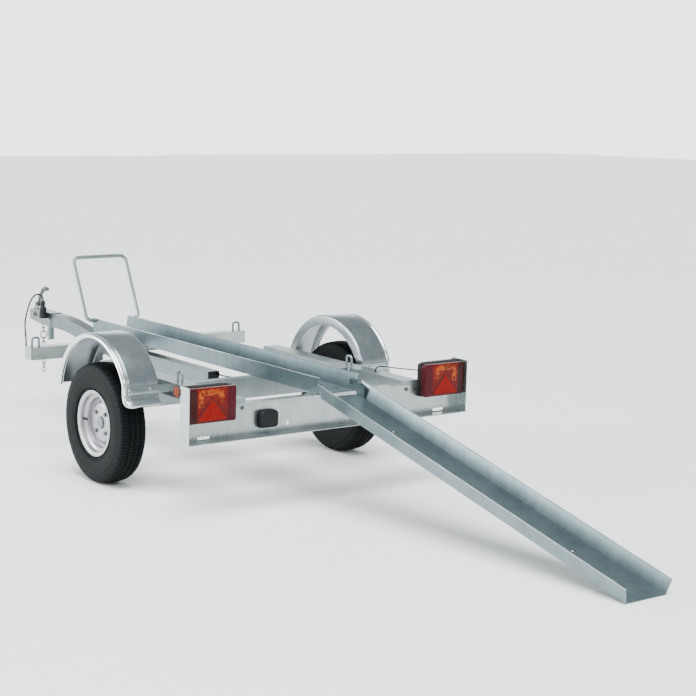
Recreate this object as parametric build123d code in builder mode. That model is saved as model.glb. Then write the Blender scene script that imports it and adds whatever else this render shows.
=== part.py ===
from build123d import *
import os
from math import asin, atan, cos, degrees, hypot, pi, radians, sin, tan

os.makedirs("parts", exist_ok=True)

SIDES = (("left", -1), ("right", 1))

# --- Stance: the chassis noses up a little on its wheels -------------------------
tyre_radius = 262
tyre_half = 65
half_track = 637.5
deck_rise = degrees(atan(0.0202))

deck = Plane(
    origin=(0, 0, tyre_radius),
    x_dir=(1, 0, 0),
    z_dir=(0, -sin(radians(deck_rise)), cos(radians(deck_rise))),
)


def cross_section(station):
    """Plane across the chassis; sketches read (across, height), extrusion goes rearward."""
    return Plane(deck.from_local_coords((0, station, 0)), x_dir=deck.x_dir, z_dir=-deck.y_dir)


def side_view(across):
    """Plane along the chassis; sketches read (station, height), extrusion goes to the right."""
    return Plane(deck.from_local_coords((across, 0, 0)), x_dir=deck.y_dir, z_dir=deck.x_dir)


def level(height):
    """Plane parallel to the deck; sketches read (across, station), extrusion goes upward."""
    return deck.offset(height)


def place(across, station, height):
    """World point of a chassis position."""
    return deck.from_local_coords((across, station, height))


def world(piece):
    """Millimetre corner list of a piece, printed for the record."""
    box = piece.bounding_box()
    return [round(v, 1) for v in (*box.min, *box.max)]


def save(piece, name):
    """Label one piece and write it to its own file."""
    piece.part.label = name
    export_step(piece.part, f"parts/{name}.step")
    print(name, world(piece.part), round(piece.part.volume / 1000, 1), "cm3")


# --- Steel sections --------------------------------------------------------------
tube_wall = 3
vent_radius = 6
drawbar_width = 60
drawbar_height = 70
drawbar_top = 149
drawbar_bottom = drawbar_top - drawbar_height
drawbar_middle = drawbar_top - drawbar_height / 2
neck_start = 1062
neck_end = 1531
neck_lift = 70
neck_bend_radius = 900
drawbar_nose = 1790
drawbar_plug_flange = 3
drawbar_plug_depth = 20

member_width = 80
member_height = 60
member_gap = 85.5
member_front = 330
member_outer = half_track - tyre_half - member_gap
member_inner = member_outer - member_width

crossbeam_size = 60
crossbeam_overhang = 113
crossbeam_half = member_outer + crossbeam_overhang
crossbeam_rear = 780
rail_bottom = drawbar_top + crossbeam_size

cross_tube_depth = 50
cross_tube_height = 90
cross_tube_rear = -356

# --- Light board -----------------------------------------------------------------
board_sheet = 2.5
board_face = -745
board_depth = 66
board_overhang = 12.5
board_half = half_track + tyre_half + board_overhang
board_bottom = 55
board_top = 190
tab_top = 286
tab_width = 225
tab_inner = board_half - tab_width
tab_corner = 20
board_shelf = 45
board_slot_length = 59
board_slot_height = 12
board_slot_inset = 108
board_slot_across = board_half - board_slot_inset
board_slot_up = 12
board_hole_radius = 8
board_hole_across = -200
board_hole_up = 33

member_top = rail_bottom
member_bottom = member_top - member_height

# --- Wheel rail and ramp ---------------------------------------------------------
rail_sheet = 2.5
rail_rear = -825
rail_front = 1105
rail_height = 70
rail_half_bottom = 92.5
rail_half_top = 103
rail_bend = 4

ramp_height = 58
ramp_half_bottom = 97
ramp_half_top = 113.5
ramp_reach = 1836
ramp_setback = 48
ramp_floor_drop = 40
ramp_ear_thick = 3
ramp_ear_outer = 90
ramp_ear_radius = 14
ramp_ear_tail = 100
ramp_wall_lead = 30
ramp_wall_notch = 8
hinge_back = 28
hinge_up = 35
hinge_pin_radius = 6
hinge_clearance = 0.5
hinge_head_radius = 10
hinge_head_thick = 4

# --- Wheel stop ------------------------------------------------------------------
stop_bar_radius = 9.5
stop_foot = 1075
stop_foot_height = 60
stop_half = 148
stop_lean = 150
stop_rise = 300
stop_bend = 30

# --- Running gear ----------------------------------------------------------------
tyre_wall = 9
rim_seat = 127
rim_flange = 144.5
rim_sheet = 3
rim_half = 50
rim_well = 112
rim_well_half = 24
disc_face = 12
disc_sheet = 4
nut_circle = 57.5
nut_count = 4
stud_radius = 6
nut_radius = 10
nut_height = 13
stub_radius = 17
stub_clearance = 0.5
hub_radius = 42
hub_flange_radius = 72
hub_flange_thick = 8
hub_inner = -72
cap_radius = 26
cap_height = 30

beam_size = 60
beam_station = 165
axle_plate = 5
beam_top = drawbar_bottom - axle_plate
beam_middle = beam_top - beam_size / 2
arm_thick = 24
arm_gap = 11.5
beam_half = half_track + hub_inner - arm_gap - arm_thick
arm_boss = 29
arm_end = 28
saddle_length = 130
saddle_width = 150
hanger_web = 6
hanger_length = 90

# --- Mudguards -------------------------------------------------------------------
guard_axis_y = 0
guard_axis_z = 336
guard_radius = 314
guard_sheet = 2
guard_gap = 32.5
guard_inner = half_track - tyre_half - guard_gap
guard_cover = 3.5
guard_outer = half_track + tyre_half + guard_cover
guard_roll = 26
guard_lip = 14
guard_flange = 45
guard_front_angle = 11
guard_rear_angle = 155
guard_panel = 58
guard_tail_bend = 14
guard_tail = 26
stay_thick = 4
stay_height = 35
stay_rear_bottom = 424
stay_front_bottom = 399
stay_front_reach = 560
stay_end_gap = 18

# --- Lamps -----------------------------------------------------------------------
lamp_width = 226
lamp_inset = 5
lamp_across = board_half - lamp_inset - lamp_width / 2
lamp_height = 145
lamp_middle = 208
lamp_base = 18
lamp_lens = 34
lamp_corner = 8
number_lamp_across = -307.5
number_lamp_width = 89
number_lamp_height = 70
number_lamp_depth = 30
number_lamp_middle = 118
reflector_radius = 26
reflector_thick = 4
reflector_reach = 24
reflector_plate = 40
reflector_plate_height = 24
reflector_flange = 25
reflector_sheet = 2.5

# --- Strap loops -----------------------------------------------------------------
loop_bar = 5
loop_half = 18
loop_height = 42
loop_bend = 12
front_loop_inset = 38
front_loop_across = crossbeam_half - front_loop_inset
rear_loop_across = member_inner + member_width / 2
rear_loop_station = -304

# --- Coupling, plug, chain and jockey tube ---------------------------------------
coupling_rear = 1690
coupling_wall = 3
coupling_top = drawbar_top + neck_lift + coupling_wall
coupling_bottom = 152
coupling_nose_top = 198
coupling_nose_bottom = 163
ball_station = 1925
ball_radius = 25.5
ball_centre = 183
boss_station = 1868
boss_middle = 196
boss_radius = 15
boss_height = 5
ear_station = 1882
ear_height = 248
ear_radius = 14
ear_thick = 5
handle_width = 28
handle_thick = 20
handle_gap = 0.5
handle_pin_radius = 5

plug_station = 1735
plug_radius = 18
plug_bottom = 196
plug_shoulder = 258
plug_top = 282
plug_neck_radius = 10.5
plug_wall = 3
plug_seat = 26

jockey_station = 1752
jockey_radius = 18
jockey_wall = 3
jockey_length = 76

chain_station = 1838
chain_pin_height = 168
chain_wire = 2.5
chain_pitch = 23
chain_half = 7.5
chain_slack = 0.3
ring_inner = 15
ring_wire = 3
links_above_ring = 3
links_below_ring = 8

lead_radius = 4
lead_inset = 19
lead_height = 186
lamp_cable_radius = 3
lamp_cable_start = (20, 134)
lamp_cable_end = (-3, 195)
side_cable_radius = 2.5
side_cable_station = -500
side_cable_height = 243
side_cable_inset = 30
side_cable_across = tab_inner + side_cable_inset

# --- Prop stand ------------------------------------------------------------------
prop_station = 1250
prop_pivot = 50
prop_radius = 21
prop_wall = 3
prop_foot_half = 45
prop_foot_thick = 5
prop_plate = 5
prop_gap = 1.5
prop_pin_radius = 7
prop_pin_clearance = 0.5


# === Chassis =====================================================================
drawbar_tail = beam_station - beam_size / 2
with BuildPart() as drawbar:
    with BuildLine(side_view(0)) as drawbar_line:
        FilletPolyline(
            (drawbar_tail, drawbar_middle),
            (neck_start, drawbar_middle),
            (neck_end, drawbar_middle + neck_lift),
            (drawbar_nose, drawbar_middle + neck_lift),
            radius=neck_bend_radius,
        )
    with BuildSketch(cross_section(drawbar_tail)):
        with Locations((0, drawbar_middle)):
            Rectangle(drawbar_width, drawbar_height)
            Rectangle(
                drawbar_width - 2 * tube_wall,
                drawbar_height - 2 * tube_wall,
                mode=Mode.SUBTRACT,
            )
    sweep(path=drawbar_line.wires()[0])
save(drawbar, "drawbar")

# Moulded plug that closes the drawbar's tail.
with BuildPart() as drawbar_plug:
    with BuildSketch(cross_section(drawbar_tail)):
        with Locations((0, drawbar_middle)):
            Rectangle(drawbar_width, drawbar_height)
    extrude(amount=drawbar_plug_flange)
    with BuildSketch(cross_section(drawbar_tail + drawbar_plug_depth)):
        with Locations((0, drawbar_middle)):
            Rectangle(drawbar_width - 2 * tube_wall, drawbar_height - 2 * tube_wall)
            Rectangle(drawbar_width - 4 * tube_wall, drawbar_height - 4 * tube_wall, mode=Mode.SUBTRACT)
    extrude(amount=drawbar_plug_depth)
    fillet(drawbar_plug.faces().sort_by(Axis.Y)[0].edges(), radius=2)
save(drawbar_plug, "drawbar_plug")

with BuildPart() as front_crossbeam:
    with BuildSketch(level(drawbar_top)):
        with Locations((0, crossbeam_rear + crossbeam_size / 2)):
            Rectangle(2 * crossbeam_half, crossbeam_size)
    extrude(amount=crossbeam_size)
    with BuildSketch(level(drawbar_top + tube_wall)):
        with Locations((0, crossbeam_rear + crossbeam_size / 2)):
            Rectangle(2 * (crossbeam_half - tube_wall), crossbeam_size - 2 * tube_wall)
    extrude(amount=crossbeam_size - 2 * tube_wall, mode=Mode.SUBTRACT)
    with BuildSketch(level(drawbar_top)):
        with Locations(
            *[(s * (crossbeam_half - 3 * vent_radius), crossbeam_rear + crossbeam_size / 2) for _, s in SIDES]
        ):
            Circle(vent_radius)
    extrude(amount=tube_wall, mode=Mode.SUBTRACT)
save(front_crossbeam, "front_crossbeam")

cross_tube_bottom = rail_bottom - cross_tube_height
with BuildPart() as rear_cross_tube:
    with BuildSketch(level(cross_tube_bottom)):
        with Locations((0, cross_tube_rear + cross_tube_depth / 2)):
            Rectangle(2 * member_inner, cross_tube_depth)
    extrude(amount=cross_tube_height)
    with BuildSketch(level(cross_tube_bottom + tube_wall)):
        with Locations((0, cross_tube_rear + cross_tube_depth / 2)):
            Rectangle(2 * (member_inner - tube_wall), cross_tube_depth - 2 * tube_wall)
    extrude(amount=cross_tube_height - 2 * tube_wall, mode=Mode.SUBTRACT)
    with BuildSketch(level(cross_tube_bottom)):
        with Locations(
            *[(s * (member_inner - 3 * vent_radius), cross_tube_rear + cross_tube_depth / 2) for _, s in SIDES]
        ):
            Circle(vent_radius)
    extrude(amount=tube_wall, mode=Mode.SUBTRACT)
save(rear_cross_tube, "rear_cross_tube")

with BuildPart() as side_members:
    for _, side in SIDES:
        with BuildSketch(cross_section(member_front)):
            with Locations((side * (member_inner + member_width / 2), member_top - member_height / 2)):
                Rectangle(member_width, member_height)
                Rectangle(
                    member_width - 2 * tube_wall,
                    member_height - 2 * tube_wall,
                    mode=Mode.SUBTRACT,
                )
        extrude(amount=member_front - board_face)
        with BuildSketch(cross_section(board_face + tube_wall)):
            with Locations((side * (member_inner + member_width / 2), member_top - member_height / 2)):
                Rectangle(member_width, member_height)
        extrude(amount=tube_wall)
save(side_members, "side_members")

# === Light board =================================================================
with BuildPart() as light_board:
    with BuildSketch(cross_section(board_face)) as board_plate:
        with BuildLine():
            Polyline(
                (-board_half, board_bottom),
                (board_half, board_bottom),
                (board_half, tab_top),
                (tab_inner, tab_top),
                (tab_inner, board_top),
                (-tab_inner, board_top),
                (-tab_inner, tab_top),
                (-board_half, tab_top),
                close=True,
            )
        make_face()
        tab_corners = [v for v in board_plate.vertices() if abs(v.X) < board_half - 1]
        fillet([v for v in tab_corners if v.Y > board_top + 1], radius=tab_corner)
        with Locations(*[(s * board_slot_across, board_bottom + board_slot_up) for _, s in SIDES]):
            SlotOverall(board_slot_length, board_slot_height, mode=Mode.SUBTRACT)
        with Locations((board_hole_across, board_bottom + board_hole_up)):
            Circle(board_hole_radius, mode=Mode.SUBTRACT)
    extrude(amount=board_sheet)
    with BuildSketch(cross_section(board_face)):
        with Locations(
            *[(s * (board_half - board_sheet / 2), (board_bottom + tab_top) / 2) for _, s in SIDES]
        ):
            Rectangle(board_sheet, tab_top - board_bottom)
        with Locations((0, board_bottom + board_sheet / 2)):
            Rectangle(2 * board_half, board_sheet)
    extrude(amount=board_depth)
    with BuildSketch(level(board_top - board_sheet)):
        with Locations((0, board_face + board_shelf / 2)):
            Rectangle(2 * member_inner, board_shelf)
    extrude(amount=board_sheet)
save(light_board, "light_board")

# === Wheel rail ==================================================================


def channel(plane, half_bottom, half_top, floor, height, sheet):
    """Outline of a flared sheet channel on the plane: floor below, two leaning sides."""
    with BuildSketch(plane) as section:
        with BuildLine():
            Polyline(
                (-half_top, floor + height),
                (-half_bottom, floor),
                (half_bottom, floor),
                (half_top, floor + height),
                (half_top - sheet, floor + height),
                (half_bottom - sheet, floor + sheet),
                (sheet - half_bottom, floor + sheet),
                (sheet - half_top, floor + height),
                close=True,
            )
        make_face()
    return section.sketch


with BuildPart() as wheel_rail:
    extrude(
        channel(
            cross_section(rail_front), rail_half_bottom, rail_half_top,
            rail_bottom, rail_height, rail_sheet,
        ),
        amount=rail_front - rail_rear,
    )
    with BuildSketch(side_view(-rail_half_top)):
        with Locations((rail_rear + hinge_back, rail_bottom + hinge_up)):
            Circle(hinge_pin_radius)
    extrude(amount=2 * rail_half_top, mode=Mode.SUBTRACT)
save(wheel_rail, "wheel_rail")

# Hat-shaped packer between the board's shelf and the rail.
packer_half = 60
packer_foot = 20
packer_sheet = 3
with BuildPart() as rail_bracket:
    with BuildSketch(cross_section(board_face + board_shelf)):
        with BuildLine():
            Polyline(
                (-packer_half - packer_foot, board_top),
                (-packer_half + packer_sheet, board_top),
                (-packer_half + packer_sheet, rail_bottom - packer_sheet),
                (packer_half - packer_sheet, rail_bottom - packer_sheet),
                (packer_half - packer_sheet, board_top),
                (packer_half + packer_foot, board_top),
                (packer_half + packer_foot, board_top + packer_sheet),
                (packer_half, board_top + packer_sheet),
                (packer_half, rail_bottom),
                (-packer_half, rail_bottom),
                (-packer_half, board_top + packer_sheet),
                (-packer_half - packer_foot, board_top + packer_sheet),
                close=True,
            )
        make_face()
    extrude(amount=board_shelf)
save(rail_bracket, "rail_bracket")

# Wheel stop: one bent bar whose feet butt against the rail's flared sides.
stop_height = rail_bottom + stop_foot_height
with BuildPart() as wheel_stop:
    with BuildLine() as stop_line:
        FilletPolyline(
            place(-rail_half_bottom, stop_foot, stop_height),
            place(-stop_half, stop_foot, stop_height),
            place(-stop_half, stop_foot + stop_lean, stop_height + stop_rise),
            place(stop_half, stop_foot + stop_lean, stop_height + stop_rise),
            place(stop_half, stop_foot, stop_height),
            place(rail_half_bottom, stop_foot, stop_height),
            radius=stop_bend,
        )
    with BuildSketch(Plane(place(-rail_half_bottom, stop_foot, stop_height), z_dir=(-1, 0, 0))):
        Circle(stop_bar_radius)
    sweep(path=stop_line.wires()[0])
    with BuildSketch(cross_section(rail_front)):
        with BuildLine():
            Polyline(
                (-rail_half_top, rail_bottom + rail_height),
                (-rail_half_bottom, rail_bottom),
                (rail_half_bottom, rail_bottom),
                (rail_half_top, rail_bottom + rail_height),
                close=True,
            )
        make_face()
    extrude(amount=crossbeam_size + rail_front - stop_foot, mode=Mode.SUBTRACT)
save(wheel_stop, "wheel_stop")

# === Ramp ========================================================================
hinge_point = place(0, rail_rear + hinge_back, rail_bottom + hinge_up)
ramp_slope = degrees(
    asin(hinge_point.Z / hypot(ramp_reach, ramp_floor_drop)) - atan(ramp_floor_drop / ramp_reach)
)
ramp_back = Vector(0, -cos(radians(ramp_slope)), -sin(radians(ramp_slope)))
ramp_normal = Vector(0, -sin(radians(ramp_slope)), cos(radians(ramp_slope)))


def ramp_section(distance):
    """Plane across the ramp; sketches read (across, height above the hinge line)."""
    return Plane(hinge_point + ramp_back * distance, x_dir=(1, 0, 0), z_dir=ramp_back)


def ramp_side(across):
    """Plane along the ramp; sketches read (distance behind the hinge, height), toward the left."""
    return Plane(hinge_point + Vector(across, 0, 0), x_dir=ramp_back, z_dir=(-1, 0, 0))


with BuildPart() as ramp:
    extrude(
        channel(
            ramp_section(ramp_wall_lead), ramp_half_bottom, ramp_half_top,
            -ramp_floor_drop, ramp_height, rail_sheet,
        ),
        amount=ramp_reach - ramp_wall_lead,
    )
    with BuildSketch(ramp_side(ramp_half_top)):
        with BuildLine():
            Polyline(
                (ramp_wall_lead, -ramp_floor_drop),
                (ramp_wall_lead, ramp_wall_notch),
                (ramp_wall_lead + ramp_wall_notch, ramp_wall_notch),
                (ramp_setback, -ramp_wall_notch),
                (ramp_setback, -ramp_floor_drop),
                close=True,
            )
        make_face()
    extrude(amount=2 * ramp_half_top, mode=Mode.SUBTRACT)
    for side in (-1, 1):
        start = side * (ramp_ear_outer - ramp_ear_thick / 2) + ramp_ear_thick / 2
        ramp_seat = rail_sheet - ramp_floor_drop
        with BuildSketch(ramp_side(start)):
            with BuildLine():
                Polyline(
                    (0, ramp_ear_radius),
                    (ramp_ear_tail - ramp_ear_radius, ramp_ear_radius / 2),
                    (ramp_ear_tail, ramp_seat),
                    (ramp_setback, ramp_seat),
                    (ramp_setback - ramp_ear_radius, -ramp_ear_radius - 4),
                    (0, -ramp_ear_radius),
                )
                ThreePointArc((0, -ramp_ear_radius), (-ramp_ear_radius, 0), (0, ramp_ear_radius))
            make_face()
            Circle(hinge_pin_radius + hinge_clearance, mode=Mode.SUBTRACT)
        extrude(amount=ramp_ear_thick)
save(ramp, "ramp")

hinge_wall = rail_half_bottom + (rail_half_top - rail_half_bottom) * hinge_up / rail_height
with BuildPart() as ramp_pins:
    for side in (-1, 1):
        head = side * (ramp_ear_outer - ramp_ear_thick - hinge_clearance)
        with BuildSketch(side_view(head)):
            with Locations((rail_rear + hinge_back, rail_bottom + hinge_up)):
                Circle(hinge_pin_radius)
        extrude(amount=side * hinge_wall - head)
        with BuildSketch(side_view(head)):
            with Locations((rail_rear + hinge_back, rail_bottom + hinge_up)):
                Circle(hinge_head_radius)
        extrude(amount=-side * hinge_head_thick)
save(ramp_pins, "ramp_pins")

# === Axle ========================================================================
with BuildPart() as axle_beam:
    with BuildSketch(side_view(-beam_half)):
        with Locations((beam_station, beam_middle)):
            Rectangle(beam_size, beam_size)
            Rectangle(beam_size - 2 * tube_wall, beam_size - 2 * tube_wall, mode=Mode.SUBTRACT)
    extrude(amount=2 * beam_half)
save(axle_beam, "axle_beam")

with BuildPart() as axle_saddle:
    with BuildSketch(level(beam_top)):
        with Locations((0, beam_station)):
            Rectangle(saddle_width, saddle_length)
    extrude(amount=axle_plate)
save(axle_saddle, "axle_saddle")

with BuildPart() as axle_hangers:
    for side in (-1, 1):
        with BuildSketch(cross_section(beam_station + hanger_length / 2)):
            with Locations((side * (member_inner + member_width / 2), 0)):
                with Locations((0, beam_top + axle_plate / 2), (0, member_bottom - axle_plate / 2)):
                    Rectangle(member_width, axle_plate)
                with Locations((0, (beam_top + member_bottom) / 2)):
                    Rectangle(hanger_web, member_bottom - beam_top)
        extrude(amount=hanger_length)
save(axle_hangers, "axle_hangers")

sidewall = [
    (tyre_half - 4, rim_flange + 20),
    (tyre_half, rim_flange + 50),
    (tyre_half - 3, tyre_radius - 34),
    (tyre_half - 13, tyre_radius - 7),
]
liner = [
    (tyre_half - tyre_wall - 3, rim_flange + 22),
    (tyre_half - tyre_wall, rim_flange + 50),
    (tyre_half - tyre_wall - 4, tyre_radius - 36),
    (tyre_half - tyre_wall - 16, tyre_radius - tyre_wall - 7),
]
for name, side in SIDES:
    wheel_view = Plane((side * half_track, 0, tyre_radius), x_dir=(side, 0, 0), z_dir=(0, -side, 0))
    wheel_axis = Axis((side * half_track, 0, tyre_radius), (side, 0, 0))
    beam_point = place(side * beam_half, beam_station, beam_middle)
    arm_plane = Plane((side * beam_half, 0, 0), x_dir=(0, side, 0), z_dir=(side, 0, 0))

    with BuildPart() as axle_arm:
        with BuildSketch(arm_plane) as arm_outline:
            with Locations((side * beam_point.Y, beam_point.Z)):
                Circle(arm_boss)
            with Locations((0, tyre_radius)):
                Circle(arm_end)
            make_hull()
        extrude(amount=arm_thick)
        with BuildSketch(arm_plane.offset(arm_thick)):
            with Locations((0, tyre_radius)):
                Circle(stub_radius)
        extrude(amount=half_track - beam_half - arm_thick - stub_radius)
    save(axle_arm, f"axle_arm_{name}")

    with BuildPart() as hub:
        with BuildSketch(wheel_view):
            with BuildLine():
                Polyline(
                    (hub_inner, stub_radius + stub_clearance),
                    (hub_inner, hub_radius),
                    (disc_face - hub_flange_thick, hub_radius),
                    (disc_face - hub_flange_thick, hub_flange_radius),
                    (disc_face, hub_flange_radius),
                    (disc_face, cap_radius),
                    (disc_face + disc_sheet + cap_height / 3, cap_radius),
                    (disc_face + disc_sheet + cap_height / 3, 0),
                    (1 - stub_radius, 0),
                    (1 - stub_radius, stub_radius + stub_clearance),
                    close=True,
                )
            make_face()
        revolve(axis=wheel_axis)
    save(hub, f"hub_{name}")

    with BuildPart() as rim:
        with BuildSketch(wheel_view):
            with BuildLine():
                Polyline(
                    (-rim_half - rim_sheet, rim_flange),
                    (-rim_half - rim_sheet, rim_seat - rim_sheet),
                    (-rim_well_half - 10, rim_seat - rim_sheet),
                    (-rim_well_half - 2, rim_well - rim_sheet),
                    (rim_well_half + 2, rim_well - rim_sheet),
                    (rim_well_half + 10, rim_seat - rim_sheet),
                    (rim_half + rim_sheet, rim_seat - rim_sheet),
                    (rim_half + rim_sheet, rim_flange),
                    (rim_half, rim_flange),
                    (rim_half, rim_seat),
                    (rim_well_half + 8, rim_seat),
                    (rim_well_half, rim_well),
                    (-rim_well_half, rim_well),
                    (-rim_well_half - 8, rim_seat),
                    (-rim_half, rim_seat),
                    (-rim_half, rim_flange),
                    close=True,
                )
            make_face()
            with BuildLine():
                Polyline(
                    (disc_face, cap_radius),
                    (disc_face, hub_flange_radius + 4),
                    (disc_face - 8, hub_flange_radius + 14),
                    (disc_face - 8, rim_well - rim_sheet),
                    (disc_face - 8 + disc_sheet, rim_well - rim_sheet),
                    (disc_face - 8 + disc_sheet, hub_flange_radius + 16),
                    (disc_face + disc_sheet, hub_flange_radius + 6),
                    (disc_face + disc_sheet, cap_radius),
                    close=True,
                )
            make_face()
        revolve(axis=wheel_axis)
    save(rim, f"rim_{name}")

    with BuildPart() as tyre:
        with BuildSketch(wheel_view):
            with BuildLine():
                Line((-rim_half, rim_seat), (-rim_half, rim_flange + 2))
                Spline((-rim_half, rim_flange + 2), *[(-w, r) for w, r in sidewall])
                ThreePointArc((-sidewall[-1][0], sidewall[-1][1]), (0, tyre_radius), sidewall[-1])
                Spline(*sidewall[::-1], (rim_half, rim_flange + 2))
                Line((rim_half, rim_flange + 2), (rim_half, rim_seat))
                Line((rim_half, rim_seat), (rim_half - tyre_wall, rim_seat))
                Spline((rim_half - tyre_wall, rim_seat), *liner)
                Line(liner[-1], (-liner[-1][0], liner[-1][1]))
                Spline(*[(-w, r) for w, r in liner[::-1]], (tyre_wall - rim_half, rim_seat))
                Line((tyre_wall - rim_half, rim_seat), (-rim_half, rim_seat))
            make_face()
        revolve(axis=wheel_axis)
    save(tyre, f"tyre_{name}")

    with BuildPart() as nuts:
        with BuildSketch(Plane((side * (half_track + disc_face + disc_sheet), 0, tyre_radius), z_dir=(side, 0, 0))):
            with PolarLocations(nut_circle, nut_count, start_angle=45):
                RegularPolygon(nut_radius, 6)
        extrude(amount=nut_height)
    save(nuts, f"wheel_nuts_{name}")

# === Mudguards ===================================================================
guard_start = radians(guard_front_angle)
guard_plane = Plane(
    (0, guard_axis_y, guard_axis_z), x_dir=(1, 0, 0), z_dir=(0, -sin(guard_start), cos(guard_start))
)
guard_end = radians(180 - guard_rear_angle)
guard_tail_y = guard_axis_y - guard_radius * cos(guard_end)
guard_tail_z = guard_axis_z + guard_radius * sin(guard_end) - guard_panel
stay_front_y = guard_axis_y + guard_radius * cos(guard_start) + guard_sheet


def guard_profile(side):
    """Half-arch section: flange at the member, flat crown, rolled outer edge with a lip."""
    with BuildSketch(guard_plane) as profile:
        with BuildLine():
            FilletPolyline(
                (side * guard_inner, guard_radius - guard_flange),
                (side * guard_inner, guard_radius),
                (side * guard_outer, guard_radius),
                (side * guard_outer, guard_radius - guard_roll - guard_lip),
                radius=[6, guard_roll],
            )
            offset(amount=guard_sheet, side=Side.RIGHT if side > 0 else Side.LEFT)
        make_face()
    return profile.sketch


for name, side in SIDES:
    guard_axis = Axis((0, guard_axis_y, guard_axis_z), (1, 0, 0))
    with BuildPart() as mudguard:
        revolve(guard_profile(side), axis=guard_axis, revolution_arc=guard_rear_angle - guard_front_angle)
        extrude(
            guard_profile(side).rotate(guard_axis, guard_rear_angle - guard_front_angle),
            amount=guard_panel,
            dir=(0, 0, -1),
        )
        with BuildSketch(Plane.YZ.offset(side * guard_inner)):
            with BuildLine():
                FilletPolyline(
                    (guard_tail_y, guard_tail_z + guard_tail_bend),
                    (guard_tail_y, guard_tail_z - guard_tail / 2),
                    (guard_tail_y - guard_tail, guard_tail_z - guard_tail),
                    radius=guard_tail_bend / 2,
                )
                offset(amount=guard_sheet, side=Side.LEFT)
            make_face()
        extrude(amount=side * (guard_outer - guard_roll / 3 - guard_inner))
        # Flat stays that carry the guard from the side member, behind its tail and before its front edge.
        for reach, face, bottom in (
            (guard_outer - stay_end_gap, guard_tail_y - guard_sheet, stay_rear_bottom),
            (stay_front_reach, stay_front_y, stay_front_bottom),
        ):
            with BuildSketch(Plane.YZ.offset(side * member_outer)):
                with Locations((face - stay_thick / 2, bottom + stay_height / 2)):
                    Rectangle(stay_thick, stay_height)
            extrude(amount=side * (reach - member_outer))
    save(mudguard, f"mudguard_{name}")

# === Lamps =======================================================================
lamp_face = board_face - board_sheet
lamp_spots = [(side * lamp_across, lamp_middle) for _, side in SIDES]
with BuildPart() as lamp_bases:
    with BuildSketch(cross_section(lamp_face)):
        with Locations(*lamp_spots):
            RectangleRounded(lamp_width, lamp_height, lamp_corner)
    extrude(amount=lamp_base)
save(lamp_bases, "lamp_bases")

with BuildPart() as lamp_lenses:
    with BuildSketch(cross_section(lamp_face - lamp_base)):
        with Locations(*lamp_spots):
            RectangleRounded(lamp_width - 4, lamp_height - 4, lamp_corner)
    extrude(amount=lamp_lens)
    fillet(lamp_lenses.faces().sort_by(Axis.Y)[:2].edges(), radius=3)
save(lamp_lenses, "lamp_lenses")

# Angle plates on the board's tabs carry the side reflectors.
reflector_middle = tab_top - reflector_radius
with BuildPart() as reflector_brackets:
    for _, side in SIDES:
        with BuildSketch(cross_section(board_face + reflector_plate)):
            with Locations((side * (board_half - reflector_sheet / 2), reflector_middle)):
                Rectangle(reflector_sheet, reflector_plate_height)
        extrude(amount=reflector_plate)
        with BuildSketch(cross_section(board_face + reflector_sheet)):
            with Locations((side * (board_half - reflector_flange / 2), reflector_middle)):
                Rectangle(reflector_flange, reflector_plate_height)
        extrude(amount=reflector_sheet)
save(reflector_brackets, "reflector_brackets")

with BuildPart() as side_reflectors:
    for _, side in SIDES:
        with BuildSketch(side_view(side * board_half)):
            with Locations((board_face + reflector_reach, reflector_middle)):
                Circle(reflector_radius)
        extrude(amount=side * reflector_thick)
save(side_reflectors, "side_reflectors")

with BuildPart() as number_lamp:
    with BuildSketch(cross_section(lamp_face)):
        with Locations((number_lamp_across, number_lamp_middle)):
            RectangleRounded(number_lamp_width, number_lamp_height, 14)
    extrude(amount=number_lamp_depth)
    fillet(number_lamp.faces().sort_by(Axis.Y)[0].edges(), radius=8)
save(number_lamp, "number_lamp")

# === Strap loops =================================================================


def strap_loops(spot, across, along):
    """Two inverted Us on the rail's seating level; each foot stands that far across and along from its spot."""
    with BuildPart() as loops:
        for _, side in SIDES:
            feet = [(side * spot[0] + end * across, spot[1] + end * along) for end in (-1, 1)]
            with BuildLine() as bar_line:
                FilletPolyline(
                    place(*feet[0], rail_bottom),
                    place(*feet[0], rail_bottom + loop_height),
                    place(*feet[1], rail_bottom + loop_height),
                    place(*feet[1], rail_bottom),
                    radius=loop_bend,
                )
            with BuildSketch(Plane(place(*feet[0], rail_bottom), z_dir=deck.z_dir)):
                Circle(loop_bar)
            sweep(path=bar_line.wires()[0])
    return loops


front_spot = (front_loop_across, crossbeam_rear + crossbeam_size / 2)
save(strap_loops(front_spot, loop_half, 0), "front_strap_loops")
save(strap_loops((rear_loop_across, rear_loop_station), 0, loop_half), "rear_strap_loops")

# === Coupling ====================================================================
coupling_half = drawbar_width / 2 + coupling_wall
shell_rear = drawbar_nose + coupling_wall


def coupling_side(inset):
    """Side outline of the pressed head, drawn in from its top and nose by the inset."""
    with BuildSketch(side_view(-coupling_half)) as outline:
        with BuildLine():
            Polyline(
                (coupling_rear, coupling_bottom),
                (drawbar_nose + coupling_half, coupling_bottom),
                (ball_station, coupling_nose_bottom),
                (ball_station + coupling_half - inset, coupling_nose_bottom),
                (ball_station + coupling_half - inset, coupling_nose_top - inset),
                (ear_station + coupling_half, coupling_top - inset),
                (coupling_rear, coupling_top - inset),
                close=True,
            )
        make_face()
    return outline.sketch


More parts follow.
